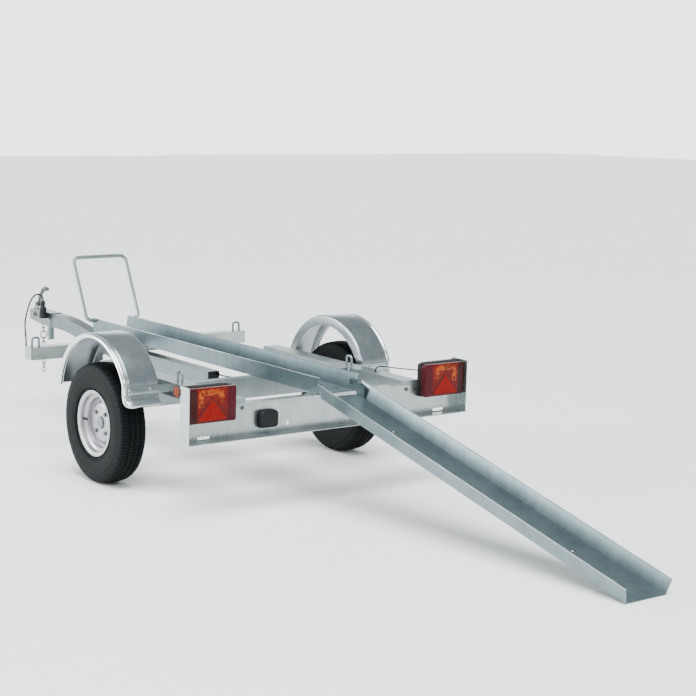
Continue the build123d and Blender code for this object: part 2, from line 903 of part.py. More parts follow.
with BuildPart() as coupling_body:
    extrude(coupling_side(0), amount=2 * coupling_half)
    fillet(coupling_body.edges().filter_by(Axis.X).group_by(Axis.Y)[-1], radius=10)
    with BuildSketch(level(0)):
        with Locations((0, (coupling_rear + ball_station) / 2)):
            Rectangle(2 * coupling_half, ball_station - coupling_rear)
        with Locations((0, ball_station)):
            Circle(coupling_half)
    extrude(amount=2 * coupling_top, mode=Mode.INTERSECT)
    with BuildSketch(cross_section(drawbar_nose)):
        with Locations((0, drawbar_middle + neck_lift)):
            Rectangle(drawbar_width, drawbar_height)
    extrude(amount=drawbar_nose - coupling_rear, mode=Mode.SUBTRACT)
    with BuildSketch(side_view(coupling_wall - coupling_half)):
        with BuildLine():
            Polyline(
                (shell_rear, coupling_bottom - coupling_wall),
                (ball_station - coupling_half, coupling_bottom - coupling_wall),
                (ball_station - coupling_half, coupling_nose_top),
                (ear_station + coupling_half - coupling_wall, coupling_top - coupling_wall),
                (shell_rear, coupling_top - coupling_wall),
                close=True,
            )
        make_face()
    extrude(amount=2 * (coupling_half - coupling_wall), mode=Mode.SUBTRACT)
    with BuildSketch(level(coupling_nose_bottom - coupling_half)):
        with Locations((0, ball_station)):
            Circle(ball_radius)
    extrude(amount=ball_centre - coupling_nose_bottom + coupling_half, mode=Mode.SUBTRACT)
    with Locations(Location(place(0, ball_station, ball_centre))):
        Sphere(ball_radius, mode=Mode.SUBTRACT)
    for side in (-1, 1):
        with BuildSketch(side_view(side * coupling_half)):
            with Locations((boss_station, boss_middle)):
                Circle(boss_radius)
        extrude(amount=side * boss_height)
        ear_face = side * (handle_width / 2 + handle_gap)
        with BuildSketch(side_view(ear_face)):
            with BuildLine():
                Polyline(
                    (ear_station + ear_radius, ear_height),
                    (ear_station + 2 * ear_radius, coupling_top - coupling_wall),
                    (ear_station - 2 * ear_radius, coupling_top - coupling_wall),
                    (ear_station - ear_radius, ear_height),
                )
                ThreePointArc(
                    (ear_station - ear_radius, ear_height),
                    (ear_station, ear_height + ear_radius),
                    (ear_station + ear_radius, ear_height),
                )
            make_face()
        extrude(amount=side * ear_thick)
    ear_reach = handle_width / 2 + handle_gap + ear_thick
    with BuildSketch(side_view(-ear_reach)):
        with Locations((ear_station, ear_height)):
            Circle(handle_pin_radius)
    extrude(amount=2 * ear_reach)
    with BuildSketch(side_view(-coupling_half)):
        with Locations((chain_station, chain_pin_height)):
            Circle(chain_wire)
    extrude(amount=2 * coupling_half)
save(coupling_body, "coupling_body")

# Hand lever, hinged between the ears: up out of them and back over the tube.
with BuildPart() as coupling_handle:
    with BuildLine(side_view(0)) as lever_line:
        FilletPolyline(
            (ear_station + 3, ear_height - ear_radius),
            (ear_station - 2, ear_height + 36),
            (ear_station - 40, ear_height + 78),
            (ear_station - 112, ear_height + 92),
            radius=[30, 24],
        )
    with BuildSketch(Plane(lever_line.line @ 0, x_dir=(1, 0, 0), z_dir=lever_line.line % 0)):
        RectangleRounded(handle_width, handle_thick, 4)
    sweep(path=lever_line.wires()[0])
    with BuildSketch(side_view(-handle_width)):
        with Locations((ear_station, ear_height)):
            Circle(handle_pin_radius + handle_gap)
    extrude(amount=2 * handle_width, mode=Mode.SUBTRACT)
save(coupling_handle, "coupling_handle")

# Parking socket for the plug, bolted to the coupling's left side.
holder_radius = plug_radius + plug_wall
plug_across = -(coupling_half + holder_radius)
with BuildPart() as plug_holder:
    with BuildSketch(level(plug_bottom - plug_wall)):
        with Locations((plug_across, plug_station)):
            Circle(holder_radius)
        with Locations((-coupling_half - holder_radius / 4, plug_station)):
            Rectangle(holder_radius / 2, 2 * plug_radius)
    extrude(amount=plug_seat + plug_wall)
    with BuildSketch(level(plug_bottom)):
        with Locations((plug_across, plug_station)):
            Circle(plug_radius)
    extrude(amount=plug_seat, mode=Mode.SUBTRACT)
save(plug_holder, "plug_holder")

with BuildPart() as plug:
    with BuildSketch(side_view(plug_across)):
        with BuildLine():
            Polyline(
                (plug_station, plug_bottom),
                (plug_station + plug_radius, plug_bottom),
                (plug_station + plug_radius, plug_shoulder - 6),
                (plug_station + plug_radius - 5, plug_shoulder),
                (plug_station + plug_neck_radius, plug_shoulder),
                (plug_station + plug_neck_radius - 3, plug_top),
                (plug_station, plug_top),
                close=True,
            )
        make_face()
    revolve(axis=Axis(place(plug_across, plug_station, 0), deck.z_dir))
save(plug, "plug")

# Tube welded under the neck for a jockey wheel.
with BuildPart() as jockey_tube:
    with BuildSketch(level(drawbar_top - drawbar_height + neck_lift - jockey_length)):
        with Locations((0, jockey_station)):
            Circle(jockey_radius)
            Circle(jockey_radius - jockey_wall, mode=Mode.SUBTRACT)
    extrude(amount=jockey_length)
save(jockey_tube, "jockey_tube")

# === Safety chain ================================================================
chain_top = place(0, chain_station, chain_pin_height)


def chain_link(top, half_length, half_width, wire, turn):
    """Welded link hanging below the height top, its plane turned about the vertical."""
    upright = Plane(
        (chain_top.X, chain_top.Y, top - half_length),
        x_dir=(cos(radians(turn)), sin(radians(turn)), 0),
        z_dir=(-sin(radians(turn)), cos(radians(turn)), 0),
    )
    straight = half_length - half_width
    with BuildLine(upright) as centre_line:
        Line((half_width, -straight), (half_width, straight))
        ThreePointArc((half_width, straight), (0, half_length), (-half_width, straight))
        Line((-half_width, straight), (-half_width, -straight))
        ThreePointArc((-half_width, -straight), (0, -half_length), (half_width, -straight))
    with BuildSketch(Plane(centre_line.line @ 0, z_dir=centre_line.line % 0)) as bar:
        Circle(wire)
    return bar.sketch, centre_line.wires()[0]


with BuildPart() as safety_chain:
    link_half = (chain_pitch + 2 * chain_wire) / 2
    ring_middle = ring_inner + ring_wire
    hang = chain_top.Z + 2 * chain_wire + chain_slack
    for count in range(links_above_ring):
        section, path = chain_link(hang, link_half, chain_half, chain_wire, 90 * ((count + 1) % 2))
        sweep(section, path=path)
        hang -= chain_pitch
    hang += ring_wire - chain_wire
    ring_turn = 90 * ((links_above_ring + 1) % 2)
    section, path = chain_link(hang, ring_middle + 1, ring_middle, ring_wire, ring_turn)
    sweep(section, path=path)
    hang -= 2 * ring_middle + 2 - ring_wire - chain_wire
    for count in range(links_below_ring):
        section, path = chain_link(hang, link_half, chain_half, chain_wire, 90 - ring_turn)
        sweep(section, path=path)
        ring_turn = 90 - ring_turn
        hang -= chain_pitch
save(safety_chain, "safety_chain")

# === Cables ======================================================================


def cable(name, route, radius):
    """Tube of straight runs and tangent arcs along the route, its figures printed."""
    runs = [(b - a).length for a, b in zip(route, route[1:])]
    turns = [
        (b - a).get_angle(c - b) for a, b, c in zip(route, route[1:], route[2:])
    ]
    bends = [
        0.45 * min(pair) / tan(radians(turn / 2)) for pair, turn in zip(zip(runs, runs[1:]), turns)
    ]
    with BuildPart() as tube:
        with BuildLine() as line:
            FilletPolyline(*route, radius=bends)
        with BuildSketch(Plane(route[0], z_dir=route[1] - route[0])):
            Circle(radius)
        sweep(path=line.wires()[0])
    length = line.wires()[0].length
    share = tube.part.volume / (pi * radius**2 * length)
    print(name, "length", round(length), "volume share", round(share, 4))
    print(name, "runs", [round(v) for v in runs], "radii", [round(v) for v in bends])
    save(tube, name)


def between(start, end, shares):
    """Chassis places from start to end, each at its share of the way across, along and up."""
    return [place(*(a + share * (b - a) for a, b, share in zip(start, end, row))) for row in shares]


cable(
    "lead",
    between(
        (plug_across, plug_station, plug_top),
        (lead_inset - crossbeam_half, crossbeam_rear + crossbeam_size, lead_height),
        [
            (0, 0, 0),
            (0, 0, -0.146),
            (0.017, 0.001, -0.292),
            (0.046, 0.008, -0.375),
            (0.083, 0.020, -0.375),
            (0.129, 0.041, -0.271),
            (0.186, 0.084, -0.115),
            (0.254, 0.144, 0.063),
            (0.338, 0.220, 0.219),
            (0.440, 0.318, 0.375),
            (0.541, 0.425, 0.521),
            (0.639, 0.540, 0.656),
            (0.734, 0.655, 0.760),
            (0.822, 0.760, 0.844),
            (0.903, 0.855, 0.906),
            (0.962, 0.924, 0.958),
            (0.992, 0.963, 0.990),
            (1, 0.982, 1),
            (1, 1, 1),
        ],
    ),
    lead_radius,
)
cable(
    "lamp_cable",
    between(
        (lamp_cable_start[0], drawbar_tail - drawbar_plug_flange, lamp_cable_start[1]),
        (lamp_cable_end[0], cross_tube_rear + cross_tube_depth, lamp_cable_end[1]),
        [
            (0, 0, 0),
            (0, 0.096, 0),
            (0.130, 0.210, 0.049),
            (0.304, 0.370, 0.164),
            (0.478, 0.530, 0.377),
            (0.652, 0.678, 0.639),
            (0.826, 0.804, 0.869),
            (1, 0.913, 1),
            (1, 1, 1),
        ],
    ),
    lamp_cable_radius,
)
for name, side in SIDES:
    cable(
        f"tab_cable_{name}",
        between(
            (side * (member_inner + member_width / 2), side_cable_station, member_top),
            (side * side_cable_across, board_face, side_cable_height),
            [
                (0, 0, 0),
                (0, 0, 0.37),
                (0.027, 0.045, 0.68),
                (0.096, 0.122, 0.82),
                (0.219, 0.265, 0.88),
                (0.410, 0.469, 0.91),
                (0.630, 0.673, 0.956),
                (0.877, 0.837, 1),
                (1, 0.906, 1),
                (1, 1, 1),
            ],
        ),
        side_cable_radius,
    )

# === Prop stand ==================================================================
prop_point = place(0, prop_station, prop_pivot)
prop_length = prop_point.Z
neck_slope = neck_lift / (neck_end - neck_start)


def neck_underside(station):
    """Height of the drawbar's underside on its rising stretch."""
    half = drawbar_height / 2 * hypot(1, neck_slope)
    return drawbar_middle + (station - neck_start) * neck_slope - half


with BuildPart() as prop_bracket:
    for side in (-1, 1):
        start = side * (prop_radius + prop_gap + prop_plate / 2) - prop_plate / 2
        with BuildSketch(side_view(start)):
            with BuildLine():
                Polyline(
                    (prop_station - 32, neck_underside(prop_station - 32)),
                    (prop_station + 32, neck_underside(prop_station + 32)),
                    (prop_station + 22, prop_pivot - 20),
                    (prop_station - 22, prop_pivot - 20),
                    close=True,
                )
            make_face()
        extrude(amount=prop_plate)
    prop_pin_half = prop_radius + prop_gap + prop_plate + 3
    with BuildSketch(side_view(-prop_pin_half)):
        with Locations((prop_station, prop_pivot)):
            Circle(prop_pin_radius)
    extrude(amount=2 * prop_pin_half)
save(prop_bracket, "prop_bracket")

with BuildPart() as prop_leg:
    with BuildSketch(Plane.XY):
        with Locations((0, prop_point.Y)):
            Rectangle(2 * prop_foot_half, 2 * prop_foot_half)
    extrude(amount=prop_foot_thick)
    with BuildSketch(Plane.XY.offset(prop_foot_thick)):
        with Locations((0, prop_point.Y)):
            Circle(prop_radius)
            Circle(prop_radius - prop_wall, mode=Mode.SUBTRACT)
    extrude(amount=prop_length + prop_radius - prop_foot_thick - 4)
    with BuildSketch(side_view(-prop_radius)):
        with Locations((prop_station, prop_pivot)):
            Circle(prop_pin_radius + prop_pin_clearance)
    extrude(amount=2 * prop_radius, mode=Mode.SUBTRACT)
save(prop_leg, "prop_leg")

print("hinge", hinge_point, "ramp slope", round(ramp_slope, 3))
print("prop", prop_point)
print("ball", place(0, ball_station, coupling_nose_bottom))
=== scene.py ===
# %% [markdown]
# # Dressing a motorcycle trailer
# The steel chassis, rail, ramp and lamps come from a CAD model. This notebook adds what a CAD
# solid lacks: tyre tread, pressed wheels, lamp lenses, cables, bolts and the finishes of zinc,
# rubber and plastic. The room is in metres and Y points towards the car, while most sizes are
# written in millimetres, as on a drawing.

import math

import bmesh
import bpy
import numpy as np
from mathutils import Matrix, Vector


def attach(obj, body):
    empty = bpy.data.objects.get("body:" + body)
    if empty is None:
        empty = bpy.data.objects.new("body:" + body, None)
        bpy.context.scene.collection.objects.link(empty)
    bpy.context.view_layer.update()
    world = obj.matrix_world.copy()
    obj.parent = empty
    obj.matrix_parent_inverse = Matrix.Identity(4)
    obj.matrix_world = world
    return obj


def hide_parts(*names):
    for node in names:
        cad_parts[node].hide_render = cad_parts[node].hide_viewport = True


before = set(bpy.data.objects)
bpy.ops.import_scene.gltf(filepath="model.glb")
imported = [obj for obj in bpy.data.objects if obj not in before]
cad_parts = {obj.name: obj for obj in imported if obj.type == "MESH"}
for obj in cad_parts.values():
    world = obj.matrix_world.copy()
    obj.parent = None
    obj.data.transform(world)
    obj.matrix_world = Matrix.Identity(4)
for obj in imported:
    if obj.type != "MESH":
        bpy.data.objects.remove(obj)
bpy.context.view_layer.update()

# %% [markdown]
# ## Places on the trailer
# The chassis noses up a little, so its own axes are tilted against the floor. One helper turns
# "across, station, height" on the chassis into a point in the room, and another does the same
# for the wheels, where a point is known by its distance outward, its radius and its angle.

# %% Chassis and wheel places
SIDES = (("left", -1), ("right", 1))
tyre_radius = 262
half_track = 637.5
deck_slope = math.atan(0.0202)


def on_deck(across, station, height):
    """Chassis millimetres to room metres: station and height turned by the slope of the deck."""
    across, station, height = np.broadcast_arrays(
        *(np.asarray(v, float) for v in (across, station, height))
    )
    y = station * math.cos(deck_slope) - height * math.sin(deck_slope)
    z = tyre_radius + station * math.sin(deck_slope) + height * math.cos(deck_slope)
    return np.stack([across, y, z], -1) / 1000


def on_wheel(side, out, radius, angle):
    """Wheel millimetres to room metres: outward along the axle, then radius turned by the angle."""
    out, radius, angle = np.broadcast_arrays(*(np.asarray(v, float) for v in (out, radius, angle)))
    x = side * (half_track + out)
    return np.stack([x, radius * np.cos(angle), tyre_radius + radius * np.sin(angle)], -1) / 1000


print("rail seat at", on_deck(0, 780, 209))

# %% [markdown]
# ## Surfaces from arrays
# A new piece is a grid of points: rows along it, columns round it. Working the whole grid out at
# once in numpy is fast, and one function turns any number of grids into a single mesh, closes
# their seams and poles, and points the faces outwards.

# %% Grids into meshes


def quads_of(rows, columns, wrap_rows, wrap_columns):
    """Four corner numbers for each cell of a grid, going round where it wraps."""
    i = np.arange(rows if wrap_rows else rows - 1)
    j = np.arange(columns if wrap_columns else columns - 1)
    i, j = np.meshgrid(i, j, indexing="ij")
    i2, j2 = (i + 1) % rows, (j + 1) % columns
    corners = [i * columns + j, i2 * columns + j, i2 * columns + j2, i * columns + j2]
    return np.stack(corners, -1).reshape(-1, 4)


def skin(name, grids, wrap_rows=False, wrap_columns=True, sharp=35):
    """One mesh from grids of points (rows, columns, 3), merged at seams, with normals outward."""
    points, quads, count = [], [], 0
    for grid in grids:
        rows, columns = grid.shape[:2]
        points.append(grid.reshape(-1, 3))
        quads.append(quads_of(rows, columns, wrap_rows, wrap_columns) + count)
        count += rows * columns
    points, quads = np.concatenate(points), np.concatenate(quads)
    mesh = bpy.data.meshes.new(name)
    mesh.vertices.add(len(points))
    mesh.vertices.foreach_set("co", points.ravel())
    mesh.loops.add(quads.size)
    mesh.loops.foreach_set("vertex_index", quads.ravel().astype(np.int32))
    mesh.polygons.add(len(quads))
    mesh.polygons.foreach_set("loop_start", np.arange(0, quads.size, 4, dtype=np.int32))
    mesh.update(calc_edges=True)
    made = bmesh.new()
    made.from_mesh(mesh)
    bmesh.ops.remove_doubles(made, verts=made.verts, dist=2e-6)
    bmesh.ops.dissolve_degenerate(made, edges=made.edges, dist=1e-7)
    bmesh.ops.recalc_face_normals(made, faces=made.faces)
    made.to_mesh(mesh)
    made.free()
    mesh.shade_smooth()
    mesh.set_sharp_from_angle(angle=math.radians(sharp))
    return mesh


def add(name, grids, material, body, slot, replaces=(), **shape):
    """Skin the grids into a piece that rides on a body and wears a finish; the slot is not used."""
    mesh = skin(name, grids, **shape)
    obj = bpy.data.objects.new(name, mesh)
    bpy.context.scene.collection.objects.link(obj)
    mesh.materials.append(material)
    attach(obj, body)
    if replaces:
        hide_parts(*replaces)
    print(name, len(mesh.polygons), "faces")


# %% [markdown]
# ## Turned and rounded shapes
# Most fittings are a section turned about a line (bolts, caps, reflectors) or a block with rounded
# corners (housings, plates). A lathe function makes the first and a loaf function the second, and
# each works a whole grid out at once.

# %% Lathe and loaf


def unit(vector):
    """The vector, or each one in an array, at length one."""
    vector = np.asarray(vector, float)
    return vector / np.linalg.norm(vector, axis=-1, keepdims=True)


def lathe(origin, along, section, sides=32, turn=0.0):
    """Section rows (distance, radius) in millimetres turned about a line: six sides make a nut."""
    along = unit(along)
    first = unit(np.cross(along, (0.3, 0.5, 0.81)))
    second = np.cross(along, first)
    angle = turn + np.arange(sides) * 2 * np.pi / sides
    ring = np.cos(angle)[:, None] * first + np.sin(angle)[:, None] * second
    reach, radius = np.asarray(section, float).T[:, :, None, None] / 1000
    return np.asarray(origin) + reach * along + radius * ring


def loaf(centre, size, radius, axes=None, crown=None):
    """Rounded block: rounded rectangles stacked along the third axis, drawn in where its ends round over."""
    axes = np.eye(3) if axes is None else np.asarray(axes, float)
    half = np.asarray(size, float) / 2
    crown = radius if crown is None else crown
    turn = np.linspace(0, np.pi / 2, 5)
    draw, rise = crown * (1 - np.sin(turn)), crown * (1 - np.cos(turn))
    inset = np.concatenate([draw, draw[::-1]])
    height = np.concatenate([-half[2] + rise, half[2] - rise[::-1]])
    corner = np.repeat(np.array([(1, 1), (-1, 1), (-1, -1), (1, -1)]), 5, axis=0)
    angle = np.concatenate([np.linspace(q, q + 1, 5) for q in range(4)]) * np.pi / 2
    bend = np.maximum(radius - inset, 0.2)[:, None]
    a = corner[:, 0] * (half[0] - inset[:, None] - bend) + bend * np.cos(angle)
    b = corner[:, 1] * (half[1] - inset[:, None] - bend) + bend * np.sin(angle)
    flat = np.stack([a, b, np.broadcast_to(height[:, None], a.shape)], -1)
    poles = [np.repeat([[[0, 0, h]]], flat.shape[1], axis=1) for h in (-half[2], half[2])]
    return np.asarray(centre) + np.concatenate([poles[0], flat, poles[1]]) @ axes / 1000


print("six sides turned from two rows:", lathe((0, 0, 0), (0, 0, 1), [(0, 9), (6, 9)], 6).shape)

# %% [markdown]
# ## Bent bars
# Beads, welds and the hand lever are bars that follow a path, so their rings stand square to it.
# A path or a pressed section is drawn with plain corners first, and a helper rounds them off.

# %% Bar and rounded line


def bar(path, radius, reference, sides=16, flat=1.0):
    """Round bar along a path of points in metres: rings square to the path, its ends drawn to a pole."""
    path = np.asarray(path, float)
    along = unit(np.gradient(path, axis=0))
    first = unit(np.cross(along, reference))
    second = np.cross(along, first)
    angle = np.arange(sides) * 2 * np.pi / sides
    radius = np.broadcast_to(radius, len(path))[:, None, None] / 1000
    wide, deep = np.cos(angle)[:, None], flat * np.sin(angle)[:, None]
    rings = path[:, None] + radius * (wide * first[:, None] + deep * second[:, None])
    ends = [np.repeat(path[i][None, None], sides, axis=1) for i in (0, -1)]
    return np.concatenate([ends[0], rings, ends[1]])


def rounded(line, radius, count=5):
    """A line of points with each inner corner swapped for a short curve (quadratic Bezier)."""
    line = np.asarray(line, float)
    before, corner, after = line[:-2], line[1:-1], line[2:]
    to_before, to_after = before - corner, after - corner
    near_b, near_a = np.linalg.norm(to_before, axis=1), np.linalg.norm(to_after, axis=1)
    cut = np.minimum(radius, 0.45 * np.minimum(near_b, near_a))[:, None]
    start = corner + to_before / near_b[:, None] * cut
    stop = corner + to_after / near_a[:, None] * cut
    t = np.linspace(0, 1, count)[None, :, None]
    curve = start[:, None] * (1 - t) ** 2 + corner[:, None] * 2 * t * (1 - t) + stop[:, None] * t**2
    return np.concatenate([line[:1], curve.reshape(-1, line.shape[1]), line[-1:]])


ACROSS = np.array((1.0, 0.0, 0.0))
AHEAD = np.array((0.0, math.cos(deck_slope), math.sin(deck_slope)))
ABOVE = np.array((0.0, -math.sin(deck_slope), math.cos(deck_slope)))
print("deck axes", AHEAD.round(4), ABOVE.round(4))

# %% [markdown]
# ## Shader maths in plain Python
# A procedural finish is arithmetic on patterns. Wrapping a socket in a small class lets that
# arithmetic be written as an expression, and each operation adds its own Math node.

# %% A socket that can be calculated with


def socket(sockets, key):
    """The socket with that number, identifier or name."""
    if isinstance(key, int):
        return sockets[key]
    return next(s for s in sockets if key in (s.identifier, s.name))


class Wire:
    """A value in a shader: arithmetic on it adds Math nodes, and it can be plugged in anywhere."""

    def __init__(self, tree, out):
        self.tree, self.out = tree, out

    def _math(self, operation, *values):
        return self.tree.node("ShaderNodeMath", {"operation": operation}, dict(enumerate(values)))

    def __add__(self, other):
        return self._math("ADD", self, other)

    def __sub__(self, other):
        return self._math("SUBTRACT", self, other)

    def __rsub__(self, other):
        return self._math("SUBTRACT", other, self)

    def __mul__(self, other):
        return self._math("MULTIPLY", self, other)

    __radd__, __rmul__ = __add__, __mul__

    def size(self):
        """The value without its sign."""
        return self._math("ABSOLUTE", self)

    def wave(self):
        """The sine of the value."""
        return self._math("SINE", self)

    def step(self, low, high):
        """0 below low and 1 above high, smooth between them."""
        return self.tree.node(
            "ShaderNodeMapRange",
            {"interpolation_type": "SMOOTHSTEP"},
            {"Value": self, "From Min": low, "From Max": high},
        )


print("sums on sockets:", [key.strip("_") for key, act in vars(Wire).items() if callable(act)])

# %% [markdown]
# ## Writing a tree of nodes
# A material and a sky are both a small tree of nodes that ends in one shader. One method adds any
# node: its type, then its settings, then what goes into its sockets. The last method fills the
# shader's own sockets.

# %% One writer for every tree


class Tree:
    """The nodes of a material or a sky, with one method for every kind of node."""

    def __init__(self, owner, shader):
        owner.use_nodes = True
        self.owner, self.net = owner, owner.node_tree
        self.shader = self.net.nodes[shader]

    def node(self, kind, settings=(), values=(), output=0):
        """A node of that type: its settings first, then values or wires for its sockets."""
        made = self.net.nodes.new(kind)
        for key, value in dict(settings).items():
            setattr(made, key, value)
        for key, value in dict(values).items():
            self.plug(socket(made.inputs, key), value)
        return Wire(self, socket(made.outputs, output))

    def plug(self, target, value):
        """Link a wire into the socket, or set its plain value; a colour gets its fourth number."""
        if isinstance(value, Wire):
            self.net.links.new(value.out, target)
        elif isinstance(value, tuple) and len(value) == 3 and target.type == "RGBA":
            target.default_value = (*value, 1)
        else:
            target.default_value = value

    def xyz(self, vector):
        """The three numbers of a vector or a colour, each as a wire."""
        split = self.node("ShaderNodeSeparateXYZ", values={0: vector})
        return [Wire(self, out) for out in split.out.node.outputs]

    def mix(self, factor, first, second, blend="MIX"):
        """The first colour at factor 0 and the second at 1, or the two blended in another way."""
        return self.node(
            "ShaderNodeMix",
            {"data_type": "RGBA", "blend_type": blend},
            {"Factor_Float": factor, "A_Color": first, "B_Color": second},
            "Result_Color",
        )

    def done(self, **sockets):
        """Set the shader's own sockets and give the material or sky back."""
        for key, value in sockets.items():
            self.plug(socket(self.shader.inputs, key.replace("_", " ")), value)
        return self.owner


print("a tree can", [key for key in vars(Tree) if not key.startswith("_")])

# %% [markdown]
# ## Patterns for a finish
# Zinc, rubber and plastic are told apart by clouds, cells and small dents. These few methods name
# the patterns that they share, all placed by the point on the trailer, so that a pattern runs on
# over a whole piece without a seam.

# %% Clouds, cells and dents


class Finish(Tree):
    """A material in the making, with the patterns that finishes share."""

    def __init__(self, name):
        super().__init__(bpy.data.materials.new(name), "Principled BSDF")

    def place(self, scale=(1, 1, 1)):
        """The point on the trailer in metres, stretched by the scale."""
        here = self.node("ShaderNodeTexCoord", output="Object")
        if scale == (1, 1, 1):
            return here
        return self.node("ShaderNodeMapping", values={"Vector": here, "Scale": scale})

    def noise(self, scale, detail=3, roughness=0.5, where=None, output=0):
        """Cloudy pattern between 0 and 1: the larger the scale, the smaller the clouds."""
        where = where or self.place()
        values = {"Vector": where, "Scale": scale, "Detail": detail, "Roughness": roughness}
        return self.node("ShaderNodeTexNoise", values=values, output=output)

    def cells(self, scale, where=None, feature="F1", output="Color"):
        """Voronoi cells: a chance colour for each, or the distance to its seed or edge."""
        values = {"Vector": where or self.place(), "Scale": scale}
        return self.node("ShaderNodeTexVoronoi", {"feature": feature}, values, output)

    def bump(self, height, distance, strength=1.0):
        """A surface direction that leans as if the height stood out by that distance."""
        values = {"Height": height, "Distance": distance, "Strength": strength}
        return self.node("ShaderNodeBump", values=values)


print("a finish adds", [key for key in vars(Finish) if not key.startswith("_")])

# %% [markdown]
# ## Hot-dip galvanised steel
# Zinc freezes on the dipped steel in spangles a centimetre or so across, each with its own
# brightness, under a cloudy bloom. Voronoi cells bent by noise give the spangles, which are faint
# on new zinc. Slow clouds vary the colour and the roughness more, so that the shine is uneven too.

# %% Zinc finishes


def galvanised(name, dark, light, rough, spangle=70):
    """Zinc between two tones: cells for spangle, noise for bloom and runs, softer noise for dents."""
    f = Finish(name)
    bend = f.node(
        "ShaderNodeVectorMath",
        {"operation": "MULTIPLY_ADD"},
        {0: f.noise(40, 2, output="Color"), 1: (0.016,) * 3, 2: f.place()},
    )
    crystal = f.xyz(f.cells(spangle, bend))[0]
    small = f.xyz(f.cells(spangle * 2.7, bend))[1]
    cloud = f.noise(4, 4, 0.6)
    run = f.noise(3, 3, 0.6, f.place((7, 7, 1.2)))
    tone = crystal * 0.08 + small * 0.04 + cloud * 0.6 + run * 0.5 - 0.12
    colour = f.mix(tone.step(0.0, 1.0), dark, light)
    bloom = f.noise(13, 5, 0.7).step(0.55, 0.8)
    colour = f.mix(bloom * 0.3, colour, tuple(min(1, v * 1.12) for v in light))
    roughness = crystal * 0.02 + cloud * 0.12 + bloom * 0.05 + (rough - 0.09)
    height = f.noise(55, 2) * 0.3 + cloud * 0.8
    return f.done(
        Base_Color=colour,
        Metallic=0.9,
        Roughness=roughness,
        Normal=f.bump(height, 0.0006, 0.6),
    )


steel = galvanised("galvanised_frame", (0.19, 0.235, 0.24), (0.38, 0.43, 0.43), 0.36)
dark_steel = galvanised("galvanised_drawbar", (0.095, 0.13, 0.138), (0.20, 0.245, 0.25), 0.36)
sheet = galvanised("galvanised_sheet", (0.27, 0.315, 0.315), (0.50, 0.54, 0.53), 0.28, 60)
guard_zinc = galvanised("galvanised_guard", (0.26, 0.30, 0.315), (0.44, 0.475, 0.49), 0.24, 60)
# A near-white copy of the zinc: painted highlight on the wired edges, sheared edges and weld beads.
painted_highlight_zinc = galvanised("galvanised_edge", (0.62, 0.66, 0.66), (0.86, 0.89, 0.88), 0.20, 60)
rail_steel = galvanised("galvanised_rail", (0.088, 0.132, 0.144), (0.20, 0.258, 0.275), 0.32, 64)
ramp_steel = galvanised("galvanised_ramp", (0.12, 0.172, 0.185), (0.26, 0.33, 0.35), 0.35, 64)
casting = galvanised("zinc_hardware", (0.11, 0.128, 0.13), (0.28, 0.305, 0.305), 0.28, 210)
# A near-black copy of the zinc: painted shade on the wheel nuts and chassis bolts.
shade_painted_zinc = galvanised("dark_hardware", (0.05, 0.055, 0.06), (0.16, 0.17, 0.175), 0.3, 260)
zincs = (steel, dark_steel, sheet, guard_zinc, painted_highlight_zinc, rail_steel, ramp_steel, casting, shade_painted_zinc)
print("zinc finishes", [m.name for m in zincs])

# %% [markdown]
# ## Rubber, plastic and paint
# Tyre rubber is nearly black and matt, with pale dust where the road reaches it. Moulded plastic
# is black with a fine grain. The wheels wear silver paint, smooth but for its orange peel.

# %% Dark and painted finishes


def rubber(name, base, dusty, rough):
    """Near-black rubber, dusty in slow patches, with a fine moulded grain."""
    f = Finish(name)
    dust = f.noise(9, 5, 0.65).step(0.42, 0.75) * 0.6 + f.noise(160, 2).step(0.5, 0.8) * 0.25
    colour = f.mix(dust, base, dusty)
    height = f.noise(1500, 2) + f.noise(260, 3) * 0.5
    return f.done(
        Base_Color=colour,
        Roughness=rough + 0.12 * dust,
        Specular_IOR_Level=0.08,
        Normal=f.bump(height, 0.0002, 0.4),
    )


def moulded(name, base, rough, grain=0.25):
    """Moulded plastic: one colour a little uneven, under a leathery grain."""
    f = Finish(name)
    patch = f.noise(30, 4)
    colour = f.mix(patch.step(0.3, 0.8) * 0.5, base, tuple(0.006 + v * 1.5 for v in base))
    height = f.cells(1300, feature="DISTANCE_TO_EDGE", output="Distance") * 1.5 + f.noise(600, 2)
    return f.done(
        Base_Color=colour,
        Roughness=patch * 0.16 + (rough - 0.08),
        Specular_IOR_Level=0.2,
        Normal=f.bump(height, 0.0001, grain),
    )


tyre_rubber = rubber("tyre_rubber", (0.0035, 0.0048, 0.0055), (0.012, 0.0145, 0.0155), 0.6)
cable_rubber = rubber("cable_sheath", (0.005, 0.005, 0.006), (0.015, 0.015, 0.015), 0.5)
plastic = moulded("black_plastic", (0.006, 0.007, 0.008), 0.42)
clear_plastic = moulded("clear_window", (0.55, 0.57, 0.58), 0.2, 0.1)
grip_grey = moulded("lever_grip", (0.09, 0.10, 0.10), 0.5, 0.4)
soft_plastic = moulded("dark_moulding", (0.009, 0.010, 0.013), 0.55, 0.4)


def silver_paint():
    """Wheel silver: fine flake by small cells, orange peel as bump, brake dust in slow patches."""
    f = Finish("wheel_silver")
    flake = f.xyz(f.cells(2600))[0]
    dust = f.noise(14, 4, 0.6).step(0.45, 0.8)
    colour = f.mix(flake * 0.35, (0.36, 0.365, 0.385), (0.50, 0.505, 0.53))
    colour = f.mix(dust * 0.35, colour, (0.25, 0.25, 0.26))
    return f.done(
        Base_Color=colour,
        Metallic=0.75,
        Roughness=0.3 + 0.12 * dust,
        Coat_Weight=0.2,
        Coat_Roughness=0.2,
        Normal=f.bump(f.noise(420, 2), 0.0003, 0.2),
    )


wheel_silver = silver_paint()
print("dark and painted finishes ready")

# %% [markdown]
# ## Lamp lenses
# A trailer lamp is one red moulding with an amber indicator let into it and a red triangle
# reflector. The zones follow the lamp's own outline, so the colour is worked out from the place
# on the board: how far from the lamp's middle, across and up.

